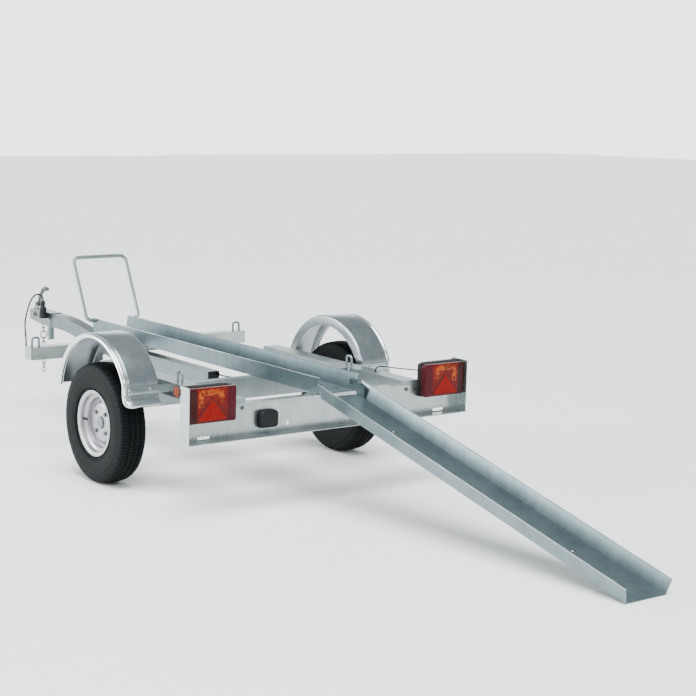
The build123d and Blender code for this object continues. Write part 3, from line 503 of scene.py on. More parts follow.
# %% Lens finishes
lamp_across, lamp_middle = 597, 208
lamp_base, lamp_lens, board_back = 18, 34, -747.5
lens_front = board_back - lamp_base - lamp_lens
lens_centre = on_deck(lamp_across, lens_front, lamp_middle)


def band(value, low, high, soft=0.0012):
    """1 between low and high, with soft sides."""
    return value.step(low - soft, low + soft) * (1 - value.step(high - soft, high + soft))


def lens_finish():
    """Red lens in zones across its width: dark outer strip, red field, plum inner strip; ribs inside; painted
    highlight on its upper half.
    """
    f = Finish("lamp_lens")
    x, _, z = f.xyz(f.place())
    inward = lens_centre[0] - x.size()
    up = z - lens_centre[2]
    outer = 1 - inward.step(-0.076, -0.070)
    inner = inward.step(0.064, 0.072)
    edge = 1 - band(inward, -0.107, 0.107, 0.003) * band(up, -0.067, 0.067, 0.003)
    flute = ((inward * 1900).wave() * 0.5 + 0.5) * 0.6 + ((up * 1900).wave() * 0.5 + 0.5) * 0.4
    patch = f.noise(45, 3)
    # Painted highlight: cloudy patches on the lens's upper half are lighter red, as where light falls on its
    # top.
    glow = patch.step(0.35, 0.7) * up.step(-0.03, 0.06)
    colour = f.mix(glow, (0.12, 0.004, 0.003), (0.20, 0.010, 0.005))
    colour = f.mix(inner * 0.9, colour, (0.055, 0.002, 0.009))
    colour = f.mix(outer * 0.85, colour, (0.016, 0.003, 0.004))
    colour = f.mix(edge * 0.6, colour, (0.05, 0.005, 0.006))
    colour = f.mix(flute * 0.4, colour, (0.3, 0.1, 0.1), "MULTIPLY")
    return f.done(
        Base_Color=colour,
        Roughness=0.2 + 0.1 * patch,
        Specular_IOR_Level=0.12,
        Coat_Weight=0.08,
        Coat_Roughness=0.05,
        Normal=f.bump(flute, 0.0006, 0.35),
    )


lens_red = lens_finish()
print("lens centre", lens_centre.round(4))

# %% [markdown]
# ## Amber and prisms
# The indicator is orange glass over a bright bowl, so it is ribbed, and its cloudiness is a painted
# reflection of that bowl. A reflector is moulded in tiny three-sided prisms: small cells give each its own
# tone and a dent at its edge.

# %% Amber and reflector finishes


def amber_lens_finish():
    """Amber arch: orange glass with darker clouds as painted reflection, where the reflector behind it turns
    away.
    """
    f = Finish("amber_lens")
    # Painted reflection: random clouds between dark and light orange stand for the bright bowl behind the
    # glass.
    cloud = f.noise(60, 3, 0.6).step(0.38, 0.62)
    rib = (f.xyz(f.place())[0] * 2400).wave() * 0.5 + 0.5
    colour = f.mix(cloud, (0.12, 0.010, 0.002), (0.36, 0.062, 0.005))
    colour = f.mix(rib * 0.3, colour, (0.4, 0.25, 0.1), "MULTIPLY")
    return f.done(
        Base_Color=colour,
        Roughness=0.2 + 0.15 * cloud,
        Specular_IOR_Level=0.15,
        Normal=f.bump(rib, 0.0006, 0.4),
    )


def prism_finish(name, base, bright):
    """Reflector plastic: tiny three-sided prisms by small cells, under clear gloss."""
    f = Finish(name)
    facet = f.xyz(f.cells(330))[0]
    colour = f.mix(facet, base, bright)
    height = f.cells(330, output="Distance")
    return f.done(
        Base_Color=colour,
        Roughness=0.2 + 0.12 * facet,
        Specular_IOR_Level=0.06,
        Coat_Weight=0.03,
        Coat_Roughness=0.05,
        Normal=f.bump(height, 0.0012, 0.5),
    )


lens_amber = amber_lens_finish()
prism_red = prism_finish("red_prisms", (0.15, 0.004, 0.003), (0.22, 0.008, 0.006))
prism_amber = prism_finish("amber_prisms", (0.10, 0.010, 0.0015), (0.20, 0.028, 0.003))
print("lens finishes", [m.name for m in (lens_amber, prism_red, prism_amber)])

# %% [markdown]
# ## Finishes on the CAD parts
# The steel parts keep their CAD shape, since folded sheet and tube are what they are. Each gets
# the finish of its own surface: the frame is dull, the rail and ramp are bluish, and the
# mudguards and board are brighter sheet. Nodes that a later piece stands in for get one as well.

# %% Dress the CAD nodes
finishes = {
    steel: (
        "rear_cross_tube side_members axle_beam axle_saddle axle_hangers axle_arm_left "
        "axle_arm_right rear_strap_loops prop_bracket prop_leg rail_bracket wheel_stop"
    ),
    dark_steel: "drawbar jockey_tube front_strap_loops",
    sheet: "front_crossbeam light_board reflector_brackets",
    guard_zinc: "mudguard_left mudguard_right",
    rail_steel: "wheel_rail",
    ramp_steel: "ramp",
    casting: (
        "coupling_body coupling_handle safety_chain ramp_pins hub_left hub_right "
        "wheel_nuts_left wheel_nuts_right"
    ),
    plastic: "lamp_bases number_lamp drawbar_plug",
    soft_plastic: "plug plug_holder",
    lens_red: "lamp_lenses",
    prism_amber: "side_reflectors",
    tyre_rubber: "tyre_left tyre_right",
    wheel_silver: "rim_left rim_right",
    cable_rubber: "lead lamp_cable tab_cable_left tab_cable_right",
}
for finish, names in finishes.items():
    for name in names.split():
        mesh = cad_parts[name].data
        mesh.materials.clear()
        mesh.materials.append(finish)
print("dressed", sum(len(names.split()) for names in finishes.values()), "of", len(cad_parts), "nodes")

# %% [markdown]
# ## Tyres
# A small trailer tyre has a flat tread with three straight grooves, slanted sipes between them,
# and a sidewall with moulded rings. The section is one closed line, so the tyre is that line
# turned about the axle; the grooves and sipes are left out of the radius, with grid lines set on
# their edges so that the cuts stay crisp.

# %% Tread and sidewalls
groove_places, groove_half, groove_depth = (-25.0, 0.0, 25.0), 2.6, 6.0
pitches, sipe_depth, lug_depth = 56, 4.0, 3.0
tread_fall, tread_edge, shoulder_radius = 0.0021, 48, 245


def tyre_section():
    """The whole section as (out, radius) in one closed line, and a 1 wherever it is tread."""
    wall = [
        (50.5, 146.5), (56, 152), (60, 158), (62.6, 160), (62.8, 163), (61.4, 166),
        (64.2, 176), (65.0, 192), (64.6, 206), (64.3, 212), (65.4, 215), (63.9, 218),
        (62.8, 228), (60.5, 240), (58.2, 248), (55.5, 253),
    ]
    inner = [(50, 127), (41, 127), (41, 146), (50, 172), (55, 200), (50, 236), (30, 248)]
    wall_w, wall_r = np.array(wall).T
    inner_w, inner_r = np.array(inner + [(-out, radius) for out, radius in inner[::-1]], float).T
    lips = np.array([-groove_half - 0.6, -groove_half + 0.4, groove_half - 0.4, groove_half + 0.6])
    rib_lines = [-50, -46, -38, -14, -9, 9, 14, 38, 46, 50]
    tread_w = np.unique(np.concatenate([*(centre + lips for centre in groove_places), rib_lines]))
    tread_r = tyre_radius - tread_fall * tread_w**2 - np.where(np.abs(tread_w) > tread_edge, 1.0, 0)
    w = np.concatenate([-wall_w, tread_w, wall_w[::-1], inner_w])
    r = np.concatenate([wall_r, tread_r, wall_r[::-1], inner_r])
    kind = np.zeros(len(w))
    kind[len(wall_w) : len(wall_w) + len(tread_w)] = 1
    return w, r, kind


def tyre_points(side):
    """Section turned about the axle: radius less groove depth, and less sipe depth at slanted cuts."""
    w, r, kind = tyre_section()
    # Grid lines within one pitch, which of them lie in a sipe, and which in a shoulder notch.
    share = np.array([0.0, 0.10, 0.13, 0.22, 0.25, 0.60, 0.63, 0.70, 0.73])
    cut = np.tile(np.array([0, 0, 1, 1, 0, 0, 1, 1, 0]), pitches)
    lug = np.tile(np.array([0, 0, 1, 1, 0, 0, 0, 0, 0]), pitches)
    phase = (np.arange(pitches)[:, None] + share).ravel()
    slant = 0.22 * np.interp(np.abs(w), [0, 50, 66], [0, 1, 1]) * kind
    angle = (phase[:, None] + slant) * 2 * np.pi / pitches
    groove = np.zeros_like(w)
    for centre in groove_places:
        groove = np.maximum(groove, (np.abs(w - centre) < groove_half).astype(float) * kind)
    rib = kind * (np.abs(w) < 47) * (1 - groove)
    shoulder = (np.abs(w) > tread_edge - 3) * (r > shoulder_radius)
    depth = groove * groove_depth + sipe_depth * cut[:, None] * rib
    depth = depth + lug_depth * lug[:, None] * shoulder
    return on_wheel(side, w, r - depth, angle)


for name, side in SIDES:
    grid = tyre_points(side)
    add(
        f"tyre_tread_{name}", [grid],
        tyre_rubber, f"wheel_{name}", "tyre_rubber", [f"tyre_{name}"], wrap_rows=True, sharp=40,
    )

# %% [markdown]
# ## Pressed wheels
# The rim is rolled and the disc is pressed from sheet, so both are one thin wall turned about the
# axle with every bend rounded. Rounding the corners of a plain section gives the long soft
# highlights that tell sheet metal from a machined part.

# %% Rims and discs


def turned(side, section, count=96):
    """A section of (out, radius) turned about the axle, in equal steps of angle."""
    angle = np.linspace(0, 2 * np.pi, count, endpoint=False)[:, None]
    return on_wheel(side, section[:, 0], section[:, 1], angle)


def walled(line, thickness):
    """A closed section from one face line: the same line offset by the sheet's thickness, back again."""
    step = np.gradient(line, axis=0)
    normal = np.stack([step[:, 1], -step[:, 0]], 1)
    normal /= np.linalg.norm(normal, axis=1)[:, None]
    return np.concatenate([line, (line + normal * thickness)[::-1]])


barrel_places = [
    (53, 143.5), (52.5, 133), (50, 126.6), (33, 126.4), (26, 110.5),
    (-24, 109.6), (-32, 126.4), (-50, 126.6), (-52.5, 133), (-53, 143.5),
]
barrel_line = rounded(barrel_places, 4)
disc_line = rounded([(16, 27), (16, 80), (6, 92), (1, 99), (3, 108), (9, 109.2)], 7)
for name, side in SIDES:
    barrel = turned(side, walled(barrel_line, -2.6))
    disc = turned(side, walled(disc_line, 3.4))
    add(
        f"wheel_pressing_{name}", [barrel, disc],
        wheel_silver, f"wheel_{name}", "rim_silver", [f"rim_{name}"], wrap_rows=True,
    )

# %% [markdown]
# ## Wheel nuts, cap and valve
# Four nuts with a chamfer hold the wheel on tapered seats, a pressed cap closes the hub, and a
# rubber valve stands out of the rim's ledge. Small parts like these set the scale of the wheel.

# %% Nuts, caps and valves


def studded(side, section, sides):
    """A section of (out, radius) turned about each wheel bolt: with six sides it is a nut."""
    spin = np.arange(sides) * 2 * np.pi / sides
    bolts = (np.arange(bolt_count) + 0.5) * 2 * np.pi / bolt_count
    out, radius = section[:, 0], section[:, 1]
    y = bolt_circle * np.cos(bolts)[:, None, None] + radius[None, :, None] * np.cos(spin)
    z = bolt_circle * np.sin(bolts)[:, None, None] + radius[None, :, None] * np.sin(spin)
    x = side * (half_track + np.broadcast_to(out[None, :, None], y.shape))
    return list(np.stack([x, y, z + tyre_radius], -1) / 1000)


bolt_circle, bolt_count = 57.5, 4
nut_section = np.array(
    [(15.5, 0), (15.5, 9.3), (17, 9.9), (25.5, 9.9), (27.6, 8.4), (28.0, 5.9), (26.5, 5.6), (26.5, 0)]
)
stud_section = np.array([(20, 5.2), (28.2, 5.2), (29.0, 4.4), (29.0, 0)])
seat_section = np.array([(15.8, 0), (15.8, 15.5), (17.4, 14.2), (17.6, 12.0), (16.9, 10.2), (16.9, 0)])
cap_line = rounded([(15.6, 29.5), (17.6, 29.5), (18.4, 26.4), (24.5, 25.4), (26.2, 20.5), (26.2, 0)], 3)
valve_line = [
    (0, 0), (0, 8.5), (3, 8.5), (4.5, 6.2), (9, 5.2),
    (24, 4.6), (26, 3.4), (36, 3.2), (36.6, 2.4), (36.6, 0),
]
# A black ring between the hub cap and the disc is painted shade: a dark band where that gap lies in shade.
shade_ring_section = rounded([(15.0, 33.5), (16.9, 33.0), (16.9, 26.5), (15.0, 26.0)], 0.5)
for name, side in SIDES:
    wheel = f"wheel_{name}"
    foot = on_wheel(side, 33, 127, 0)
    stem = lathe(foot, on_wheel(side, 35, 90, 0) - foot, valve_line, 20)
    add(f"valve_{name}", [stem], plastic, wheel, "black_plastic")
    shade_ring = turned(side, shade_ring_section, 64)
    add(f"hub_painted_shade_{name}", [shade_ring], plastic, wheel, "black_plastic", wrap_rows=True)
    # The nuts wear the near-black zinc as painted shade.
    nuts = studded(side, nut_section, 6)
    add(f"nuts_{name}", nuts, shade_painted_zinc, wheel, "zinc_nuts", [f"wheel_nuts_{name}"])
    studs = studded(side, stud_section, 16)
    add(f"stud_ends_{name}", studs, casting, wheel, "zinc_nuts")
    seats = studded(side, seat_section, 24)
    add(f"nut_seats_{name}", seats, wheel_silver, wheel, "rim_silver")
    cap = turned(side, cap_line, 64).transpose(1, 0, 2)
    add(f"hub_cap_{name}", [cap], casting, wheel, "zinc_plated")

# %% [markdown]
# ## Mudguards
# A trailer mudguard is rolled from one sheet: a flat crown, a folded flange towards the chassis
# and a round wired edge outside, which turns the lower corner and stiffens the flared tail too.
# Both follow one line along the crown, which comes first, with its normals.

# %% The guards' line
guard_height, guard_top = 336, 316
guard_inner, guard_bead, bead_radius, sheet_thickness = 540, 695, 12, 1.6
guard_front, guard_rear = math.radians(11), math.radians(155)
panel_foot, tail_foot, tail_flare, tail_corner = 406, 382, 24, 30


def eased(line, step, reach):
    """The line in equal steps, each point then the mean of its neighbours, so corners turn softly."""
    line = np.asarray(line, float)
    run = np.append(0, np.linalg.norm(np.diff(line, axis=0), axis=1).cumsum())
    even = np.linspace(0, run[-1], int(run[-1] / step) + 1)
    line = np.stack([np.interp(even, run, part) for part in line.T], 1)
    before = line[0] + (line[0] - line[1]) * np.arange(reach, 0, -1)[:, None]
    after = line[-1] + (line[-1] - line[-2]) * np.arange(1, reach + 1)[:, None]
    long = np.concatenate([before, line, after])
    kernel = np.ones(2 * reach + 1) / (2 * reach + 1)
    return np.stack([np.convolve(part, kernel, "valid") for part in long.T], 1)


def guard_line():
    """Crown line from front to tail: an arc about the guard's axis, a straight panel, a flared tail."""
    arc = np.linspace(guard_front, guard_rear, 65)
    y, z = guard_top * np.cos(arc), guard_height + guard_top * np.sin(arc)
    tail = [(y[-1], panel_foot), (y[-1] - tail_flare, tail_foot)]
    return eased(np.concatenate([np.stack([y, z], 1), tail]), 4, 4)


def guard_frames():
    """The crown line with its outward normals and how far each point is from the tail's end."""
    line = guard_line()
    along = unit(np.gradient(line, axis=0))
    normal = np.stack([along[:, 1], -along[:, 0]], 1)
    rest = np.linalg.norm(np.diff(line, axis=0), axis=1)[::-1].cumsum()[::-1]
    return line, normal, np.append(rest, 0)


crown, crown_normal, to_tail = guard_frames()
print("crown line", len(crown), "points, top at", crown[:, 1].max().round(1), "mm")

# %% [markdown]
# ## Guard sheet and wired edge
# The sheet is a section carried along the line: at every point the section stands on the line's
# normal. The edge is a bar bent along the same line, a little inside it, and then turned across
# the tail. Two strips with rivets hold each guard to the frame.

# %% Guard sheets, wired edges and stays


def guard_sheet_points(side):
    """Sheet section carried along the line: the flange runs out and the outer corner rounds at the tail."""
    section = rounded([(0, -45), (0, 0), (141, 0), (144.5, -7), (152, -8)], 5)
    section = walled(section, -sheet_thickness)
    flange = np.interp(to_tail, [0, 22, 60], [0.05, 0.3, 1])
    into = np.maximum(tail_corner - to_tail, 0)
    corner = tail_corner - np.sqrt(np.maximum(tail_corner**2 - into**2, 0))
    width = guard_bead - guard_inner
    out = guard_inner + section[:, 0] * ((width - corner) / width)[:, None]
    deep = np.where(section[:, 0] < 20, section[:, 1] * flange[:, None], section[:, 1])
    y = crown[:, :1] + crown_normal[:, :1] * deep
    z = crown[:, 1:] + crown_normal[:, 1:] * deep
    return np.stack([side * out, y, z], -1) / 1000


def guard_bead_path(side):
    """Centre of the wired edge: under the crown's edge, round the lower corner, along the tail."""
    inside = crown - crown_normal * (bead_radius - 1)
    run = np.stack([np.full(len(inside), guard_bead), inside[:, 0], inside[:, 1]], 1)[to_tail > 14]
    end = crown[-1] - crown_normal[-1] * 3
    path = eased(np.concatenate([run, [(guard_bead - 16, *end), (guard_inner + 4, *end)]]), 4, 4)
    thick = np.interp(path[:, 0], [guard_inner, guard_bead - 50, guard_bead - 8], [4.0, 5.0, bead_radius])
    return path * (side, 1, 1) / 1000, thick


rear_stay, front_stay = (0.5875, -0.2886, 0.4415), (0.5235, 0.3082, 0.4165)
rivet = [(0, 0), (0, 7), (1.5, 6.6), (3.4, 4.2), (4.2, 0)]
rivet_spots = [(0.680, -0.2906, 0.446, -1), (0.580, -0.2906, 0.444, -1), (0.553, 0.3102, 0.416, 1)]
for name, side in SIDES:
    mirror = np.array((side, 1, 1))
    add(
        f"guard_sheet_{name}", [guard_sheet_points(side)],
        guard_zinc, "chassis", "galvanised_steel", [f"mudguard_{name}"], sharp=40,
    )
    # The wired edge wears the near-white zinc as a painted highlight.
    path, thick = guard_bead_path(side)
    bead = bar(path, thick, (side, 1, 0.15), 24)
    add(f"guard_edge_{name}", [bead], painted_highlight_zinc, "chassis", "galvanised_steel")
    stays = [
        loaf(mirror * rear_stay, (201, 4, 35), 1.9),
        loaf(mirror * front_stay, (73, 4, 35), 1.9),
    ]
    rivets = [lathe(mirror * spot, (0, way, 0), rivet, 16) for *spot, way in rivet_spots]
    add(f"guard_stays_{name}", stays + rivets, guard_zinc, "chassis", "galvanised_steel")

# %% [markdown]
# ## Lamps and reflectors
# Each lamp is a red moulding with rounded edges. A three-cornered reflector stands a little proud
# of it, an amber arch spans the reflector, and two screws sink into the dark outer strip. All of
# them are placed from the lamp's own middle, so the two lamps mirror each other.

# %% Lamp mouldings and reflectors


def on_lamp(side, inward, up, back):
    """Lamp millimetres to room metres: inward and up from the lamp's middle, back from the board."""
    return on_deck(side * (lamp_across - inward), board_back - back, lamp_middle + up)


def plaque(side, outline, low, high, edge=1.2):
    """A flat raised shape: its outline at two depths, drawn in a little at the top, closed by poles."""
    middle = outline.mean(axis=0)
    pole = np.tile(middle, (len(outline), 1))
    shrunk = middle + (outline - middle) * (1 - edge / np.abs(outline - middle).max())
    rows = [(pole, low), (outline, low), (outline, high - edge / 2), (shrunk, high), (pole, high)]
    return np.stack([on_lamp(side, *shape.T, depth) for shape, depth in rows])


lens_face = lamp_base + lamp_lens
lens_wide, lens_high, trim_rim = 222, 141, 3
screw_well = [(-3, 0), (-3, 7.5), (0.7, 7.5), (1.1, 6.6), (0.2, 6.0), (-1.6, 5.4), (-1.6, 0)]
cup = [(0, 0), (0, 25.9), (2.6, 25.9), (3.6, 25.0), (3.8, 22.6), (2.4, 22.2), (2.4, 0)]
glass = [(2.0, 0), (2.0, 22.4), (3.2, 22.0), (3.9, 17.0), (4.0, 0)]
board_axes = (ACROSS, ABOVE, -AHEAD)
triangle = rounded([(0, -62), (70, -62), (-3, 27), (-78, -62), (0, -62)], 7)[:-1]
arch = rounded([(-54, -8), (-54, 52), (38, 52), (46, 6)], 12, 9)
for name, side in SIDES:
    middle = on_lamp(side, 0, 0, lamp_base + lamp_lens / 2)
    body = loaf(middle, (lens_wide, lens_high, lamp_lens), 9, board_axes, 5)
    add(f"lens_{name}", [body], lens_red, "chassis", "red_lens", ["lamp_lenses"])
    facet = plaque(side, triangle, lens_face - 2, lens_face + 1.6)
    add(f"lens_triangle_{name}", [facet], prism_red, "chassis", "red_lens")
    ribbon = bar(on_lamp(side, *arch.T, lens_face - 0.4), 12.5, -AHEAD, 24, 0.13)
    add(f"lens_arch_{name}", [ribbon], lens_amber, "chassis", "amber_lens")
    border = np.concatenate([triangle, triangle[:1]])
    trims = [bar(on_lamp(side, *border.T, lens_face + 0.6), 1.6, -AHEAD, 10)]
    for up in (-50, 49):
        trims.append(lathe(on_lamp(side, -92, up, lens_face), -AHEAD, screw_well, 20))
    rim_size = (lens_wide + trim_rim, lens_high + trim_rim, 4)
    trims.append(loaf(on_lamp(side, 0, 0, lamp_base + 2), rim_size, 9, board_axes, 1))
    add(f"lens_trims_{name}", trims, plastic, "chassis", "black_plastic")
    spot = on_deck(side * 715, -721, 260)
    add(f"reflector_cup_{name}", [lathe(spot, (side, 0, 0), cup, 48)], plastic, "chassis", "black_plastic")
    add(
        f"reflector_glass_{name}", [lathe(spot, (side, 0, 0), glass, 48)],
        prism_amber, "chassis", "amber_lens", ["side_reflectors"],
    )

# %% [markdown]
# ## Number-plate lamp
# The lamp beside the plate shines down through a window in its underside. From behind it is a
# bevelled black housing on a gasket, closed by two screws.

# %% Number-plate lamp
plate_across, plate_height = -307.5, 118
housing = loaf(on_deck(plate_across, board_back - 17, plate_height), (89, 70, 28), 16, board_axes, 9)
gasket = loaf(on_deck(plate_across, board_back - 1.5, plate_height), (92, 73, 3), 17, board_axes, 1)
seam = rounded([(-44, -34.5), (44, -34.5), (44, 34.5), (-44, 34.5), (-44, -34.5)], 15, 7)
seam_path = on_deck(plate_across + seam[:, 0], board_back - 12, plate_height + seam[:, 1])
seam_bar = bar(seam_path, 1.3, -AHEAD, 8)
screw = [(-1, 0), (-1, 4.2), (0.6, 4.0), (1, 2.4), (1, 0)]
screw_places = [on_deck(plate_across + x, board_back - 31, plate_height) for x in (-30, 30)]
screws = [lathe(place, -AHEAD, screw, 16) for place in screw_places]
add(
    "number_lamp_housing", [housing, gasket, seam_bar, *screws],
    plastic, "chassis", "black_plastic", ["number_lamp"],
)
window = loaf(on_deck(plate_across, board_back - 17, plate_height - 34.5), (58, 3, 17), 1.2, board_axes, 1.2)
add("number_lamp_window", [window], clear_plastic, "chassis", "black_plastic")

# %% [markdown]
# ## Coupling lever and plug
# The hand lever is a pressed bar that rises between the ears and bends back over the drawbar, and
# its end is dipped in soft grip. The parked plug has a ribbed body, so a hand can turn it.

# %% Lever and plug
lever_places = [
    (0, 1885, 236), (0, 1882, 262), (0, 1876, 290), (0, 1845, 322), (0, 1817, 340), (0, 1792, 336),
]
lever_line = on_deck(*rounded(lever_places, 16, 7).T)
lever_reach = np.linspace(0, 1, len(lever_line))
lever_width = np.interp(lever_reach, [0, 0.1, 0.55, 0.7, 0.95, 1], [12.5, 13.5, 12.5, 14, 13, 9])
lever = bar(lever_line, lever_width, AHEAD + ABOVE * 0.2, 20, 0.62)
ribs = np.linspace(0, 1, 41)
sleeve = np.stack([2 + 34 * ribs, 17.6 + 1.4 * np.abs(np.sin(ribs * 5 * np.pi)) - 3.0 * ribs**3], 1)
knob = rounded([(36, 14), (40, 9), (44, 9.5), (52, 12.5), (60, 12.5), (66, 9), (70, 5), (70, 0)], 2)
plug_line = np.concatenate([[(2, 0)], sleeve, knob])
add(
    "plug_body", [lathe(on_deck(-54, 1735, 216), ABOVE, plug_line, 40)],
    soft_plastic, "chassis", "black_plastic", ["plug"],
)
add("coupling_lever", [lever], casting, "chassis", "zinc_plated", ["coupling_handle"])
grip_line = lever_line[-11:]
grip_width = np.interp(np.linspace(0, 1, len(grip_line)), [0, 0.08, 0.9, 1], [13.5, 15.5, 15, 12])
grip = bar(grip_line, grip_width, AHEAD + ABOVE * 0.2, 20, 0.68)
pin_end = [(-26, 0), (-26, 6), (-25, 7), (-21.5, 7.2), (-21.5, 5)]
pin = pin_end + [(-reach, radius) for reach, radius in pin_end[::-1]]
add("lever_pin", [lathe(on_deck(0, 1882, 248), ACROSS, pin, 20)], casting, "chassis", "zinc_plated")
add("lever_grip", [grip], grip_grey, "chassis", "black_plastic")

# %% [markdown]
# ## Cables
# The lead to the car runs from the parked plug down to the crossbeam, and short cables feed the
# lamps. Each is one smooth spline through a handful of places where the cable is held or sags,
# thickened to the cable's diameter.

# %% Leads and cables


def cable(name, route, diameter, length, node, far_end, **facts):
    """One open smooth spline through the route, given as (across, station, height) in millimetres."""
    places = on_deck(*np.array(route, float).T)
    curve = bpy.data.curves.new(name, "CURVE")
    curve.dimensions = "3D"
    curve.bevel_depth = diameter / 2
    curve.bevel_resolution = 4
    curve.resolution_u = 12
    curve.use_fill_caps = True
    line = curve.splines.new("NURBS")
    line.points.add(len(places) - 1)
    line.points.foreach_set("co", np.c_[places, np.ones(len(places))].ravel())
    line.order_u = 3
    line.use_endpoint_u = True
    obj = bpy.data.objects.new(name, curve)
    bpy.context.scene.collection.objects.link(obj)
    curve.materials.append(cable_rubber)
    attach(obj, "chassis")
    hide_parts(node)
    print(name, "declared", length, "m")


lead_route = [
    (-54, 1735, 282), (-54, 1735, 297), (-64, 1735, 312), (-80, 1731, 322), (-103, 1721, 323),
    (-130, 1702, 313), (-162, 1665, 298), (-199, 1612, 281), (-242, 1542, 263), (-295, 1452, 247),
    (-347, 1355, 232), (-397, 1252, 219), (-445, 1149, 209), (-489, 1055, 201), (-531, 970, 195),
    (-561, 908, 190), (-577, 873, 187), (-581, 856, 186), (-581, 840, 186),
]
lamp_route = [
    (20, 132, 134), (20, 90, 134), (17, 40, 137), (13, -30, 144), (9, -100, 157), (5, -165, 173),
    (1, -220, 187), (-3, -268, 195), (-3, -306, 195),
]
tab_line = [
    (447, -500, 209), (447, -500, 221.6), (449, -511, 232), (454, -530, 237), (463, -565, 239),
    (477, -615, 240), (493, -665, 241.5), (511, -705, 243), (520, -722, 243), (520, -745, 243),
]
cable(
    "lead_cable", lead_route[::-1], 0.008, 1.089, "lead", "plug",
    stiffness="stiff", lay="hanging", with_pieces=["plug_body"],
)
cable("lamp_feed", lamp_route, 0.006, 0.445, "lamp_cable", "object", stiffness="stiff", lay="taut")
for name, side in SIDES:
    route = [(side * across, *rest) for across, *rest in tab_line]
    cable(
        f"tab_feed_{name}", route, 0.005, 0.274, f"tab_cable_{name}", "object",
        stiffness="medium", lay="hanging",
    )

# %% [markdown]
# ## Bolts
# Bolts show how a trailer is put together: hexagon heads on washers where the steel is clamped,
# and flat round heads in the rail and ramp, where a tyre rolls over them. Each head is a turned
# section, and a lathe with six sides makes the hexagon.

# %% Bolt heads
HEX_HEAD = [(0, 0), (0, 8.8), (4.6, 8.8), (5.6, 7.4), (5.8, 0)]
WASHER = [(0, 0), (0, 10.5), (1.2, 10.5), (1.6, 10.0), (1.6, 0)]
COACH_HEAD = [(0, 0), (0, 10.2), (1.2, 10.0), (3.0, 7.5), (4.0, 3.5), (4.2, 0)]


def bolt(origin, along, size=1.0, turn=0.2):
    """A washer and a hexagon head on it, as two turned sections."""
    scaled = [np.array(section) * size for section in (WASHER, HEX_HEAD)]
    lifted = scaled[1] + (1.4 * size, 0)
    return [lathe(origin, along, scaled[0], 24), lathe(origin, along, lifted, 6, turn)]


coupling_height, plate_underside = 196, 74
bolts = []
for side in (-1, 1):
    # Two through the coupling and the drawbar's nose, and one on each of the coupling's bosses.
    bolts += bolt(on_deck(side * 33, 1703, coupling_height), (side, 0, 0))
    bolts += bolt(on_deck(side * 33, 1774, coupling_height), (side, 0, 0), turn=0.5)
    bolts += bolt(on_deck(side * 38, 1868, coupling_height), (side, 0, 0), 0.9)
    # The light board on the ends of the side members.
    for across in (425, 467):
        bolts += bolt(on_deck(side * across, board_back, 172), -AHEAD, 0.85, across)
    # The ends of the pin that the prop leg folds about.
    bolts += bolt(on_deck(side * 31.5, 1250, 50), (side, 0, 0), 0.9)
    # Under the plates of the hangers, and then of the saddle, that rest on the axle beam.
    for station in (135, 195):
        for across in (424, 470):
            bolts += bolt(on_deck(side * across, station, plate_underside), -ABOVE, 0.8, across)
    for station in (112, 218):
        bolts += bolt(on_deck(side * 55, station, plate_underside), -ABOVE, 0.9, station)
# The bolts wear the near-black zinc as painted shade.
add("chassis_bolts", bolts, shade_painted_zinc, "chassis", "zinc_plated", sharp=30)

# The rail on the front crossbeam, on the rear cross tube and on its bracket at the light board.
rail_floor, coach_across, coach_stations = 211.5, 42, (810, -331, -745)
coach_spots = [on_deck(x, u, rail_floor) for x in (-coach_across, coach_across) for u in coach_stations]
coach = [lathe(spot, ABOVE, COACH_HEAD, 24) for spot in coach_spots]
add("rail_bolts", coach, casting, "chassis", "zinc_plated")

ramp_slope = math.radians(14.222)
ramp_hinge = np.array((0, -0.80177, 0.48985))
ramp_down = np.array((0, -math.cos(ramp_slope), -math.sin(ramp_slope)))
ramp_above = np.array((0, -math.sin(ramp_slope), math.cos(ramp_slope)))
ramp_length, ramp_half, ramp_floor_depth, ramp_bolt_reaches = 1.836, 0.1122, 0.0376, (0.42, 1.4717)
ramp_spots = [ramp_hinge + ramp_down * reach - ramp_above * ramp_floor_depth for reach in ramp_bolt_reaches]
ramp_heads = [lathe(spot, ramp_above, COACH_HEAD, 24) for spot in ramp_spots]
add("ramp_bolts", ramp_heads, casting, "ramp", "zinc_plated")

# %% [markdown]
# ## Sheared edges
# Zinc that runs off a dipped sheet rounds its sheared edges. Those beads draw the lines of the rail
# and the ramp, so each top edge gets a thin bar that swells a little here and there, in a
# near-white zinc that is a painted highlight.

# %% Beads on the rail's and ramp's edges


def hem(start, step, phase):
    """Bead along a sheared edge: a straight bar whose thickness swells a little where zinc ran."""
    share = np.linspace(0, 1, 33)
    swell = 1.9 + 0.25 * np.sin(share * 47 + phase) + 0.15 * np.sin(share * 19)
    return bar(start + share[:, None] * step, swell, ABOVE + ACROSS * 0.3, 10)


rail_front, rail_rear, rail_top, rail_half = 1105, -825, 279, 101.75
rail_step = on_deck(0, rail_front, rail_top) - on_deck(0, rail_rear, rail_top)
rail_corners = on_deck([-rail_half, rail_half], rail_rear, rail_top)
rail_hems = [hem(corner, rail_step, phase) for phase, corner in enumerate(rail_corners)]
add("rail_edges", rail_hems, painted_highlight_zinc, "chassis", "galvanised_steel")
ramp_corner = ramp_hinge + ramp_down * 0.030 + ramp_above * 0.018
ramp_step = ramp_down * (ramp_length - 0.0325)
ramp_corners = [ramp_corner + ACROSS * x for x in (-ramp_half, ramp_half)]
ramp_hems = [hem(corner, ramp_step, phase) for phase, corner in enumerate(ramp_corners)]
add("ramp_edges", ramp_hems, painted_highlight_zinc, "ramp", "galvanised_steel")

# %% [markdown]
# ## Welds
# Where tube meets tube a bead of weld fills the corner. The pool freezes in ripples as the torch
# moves on, so the bead is a bar whose thickness waves along its length.

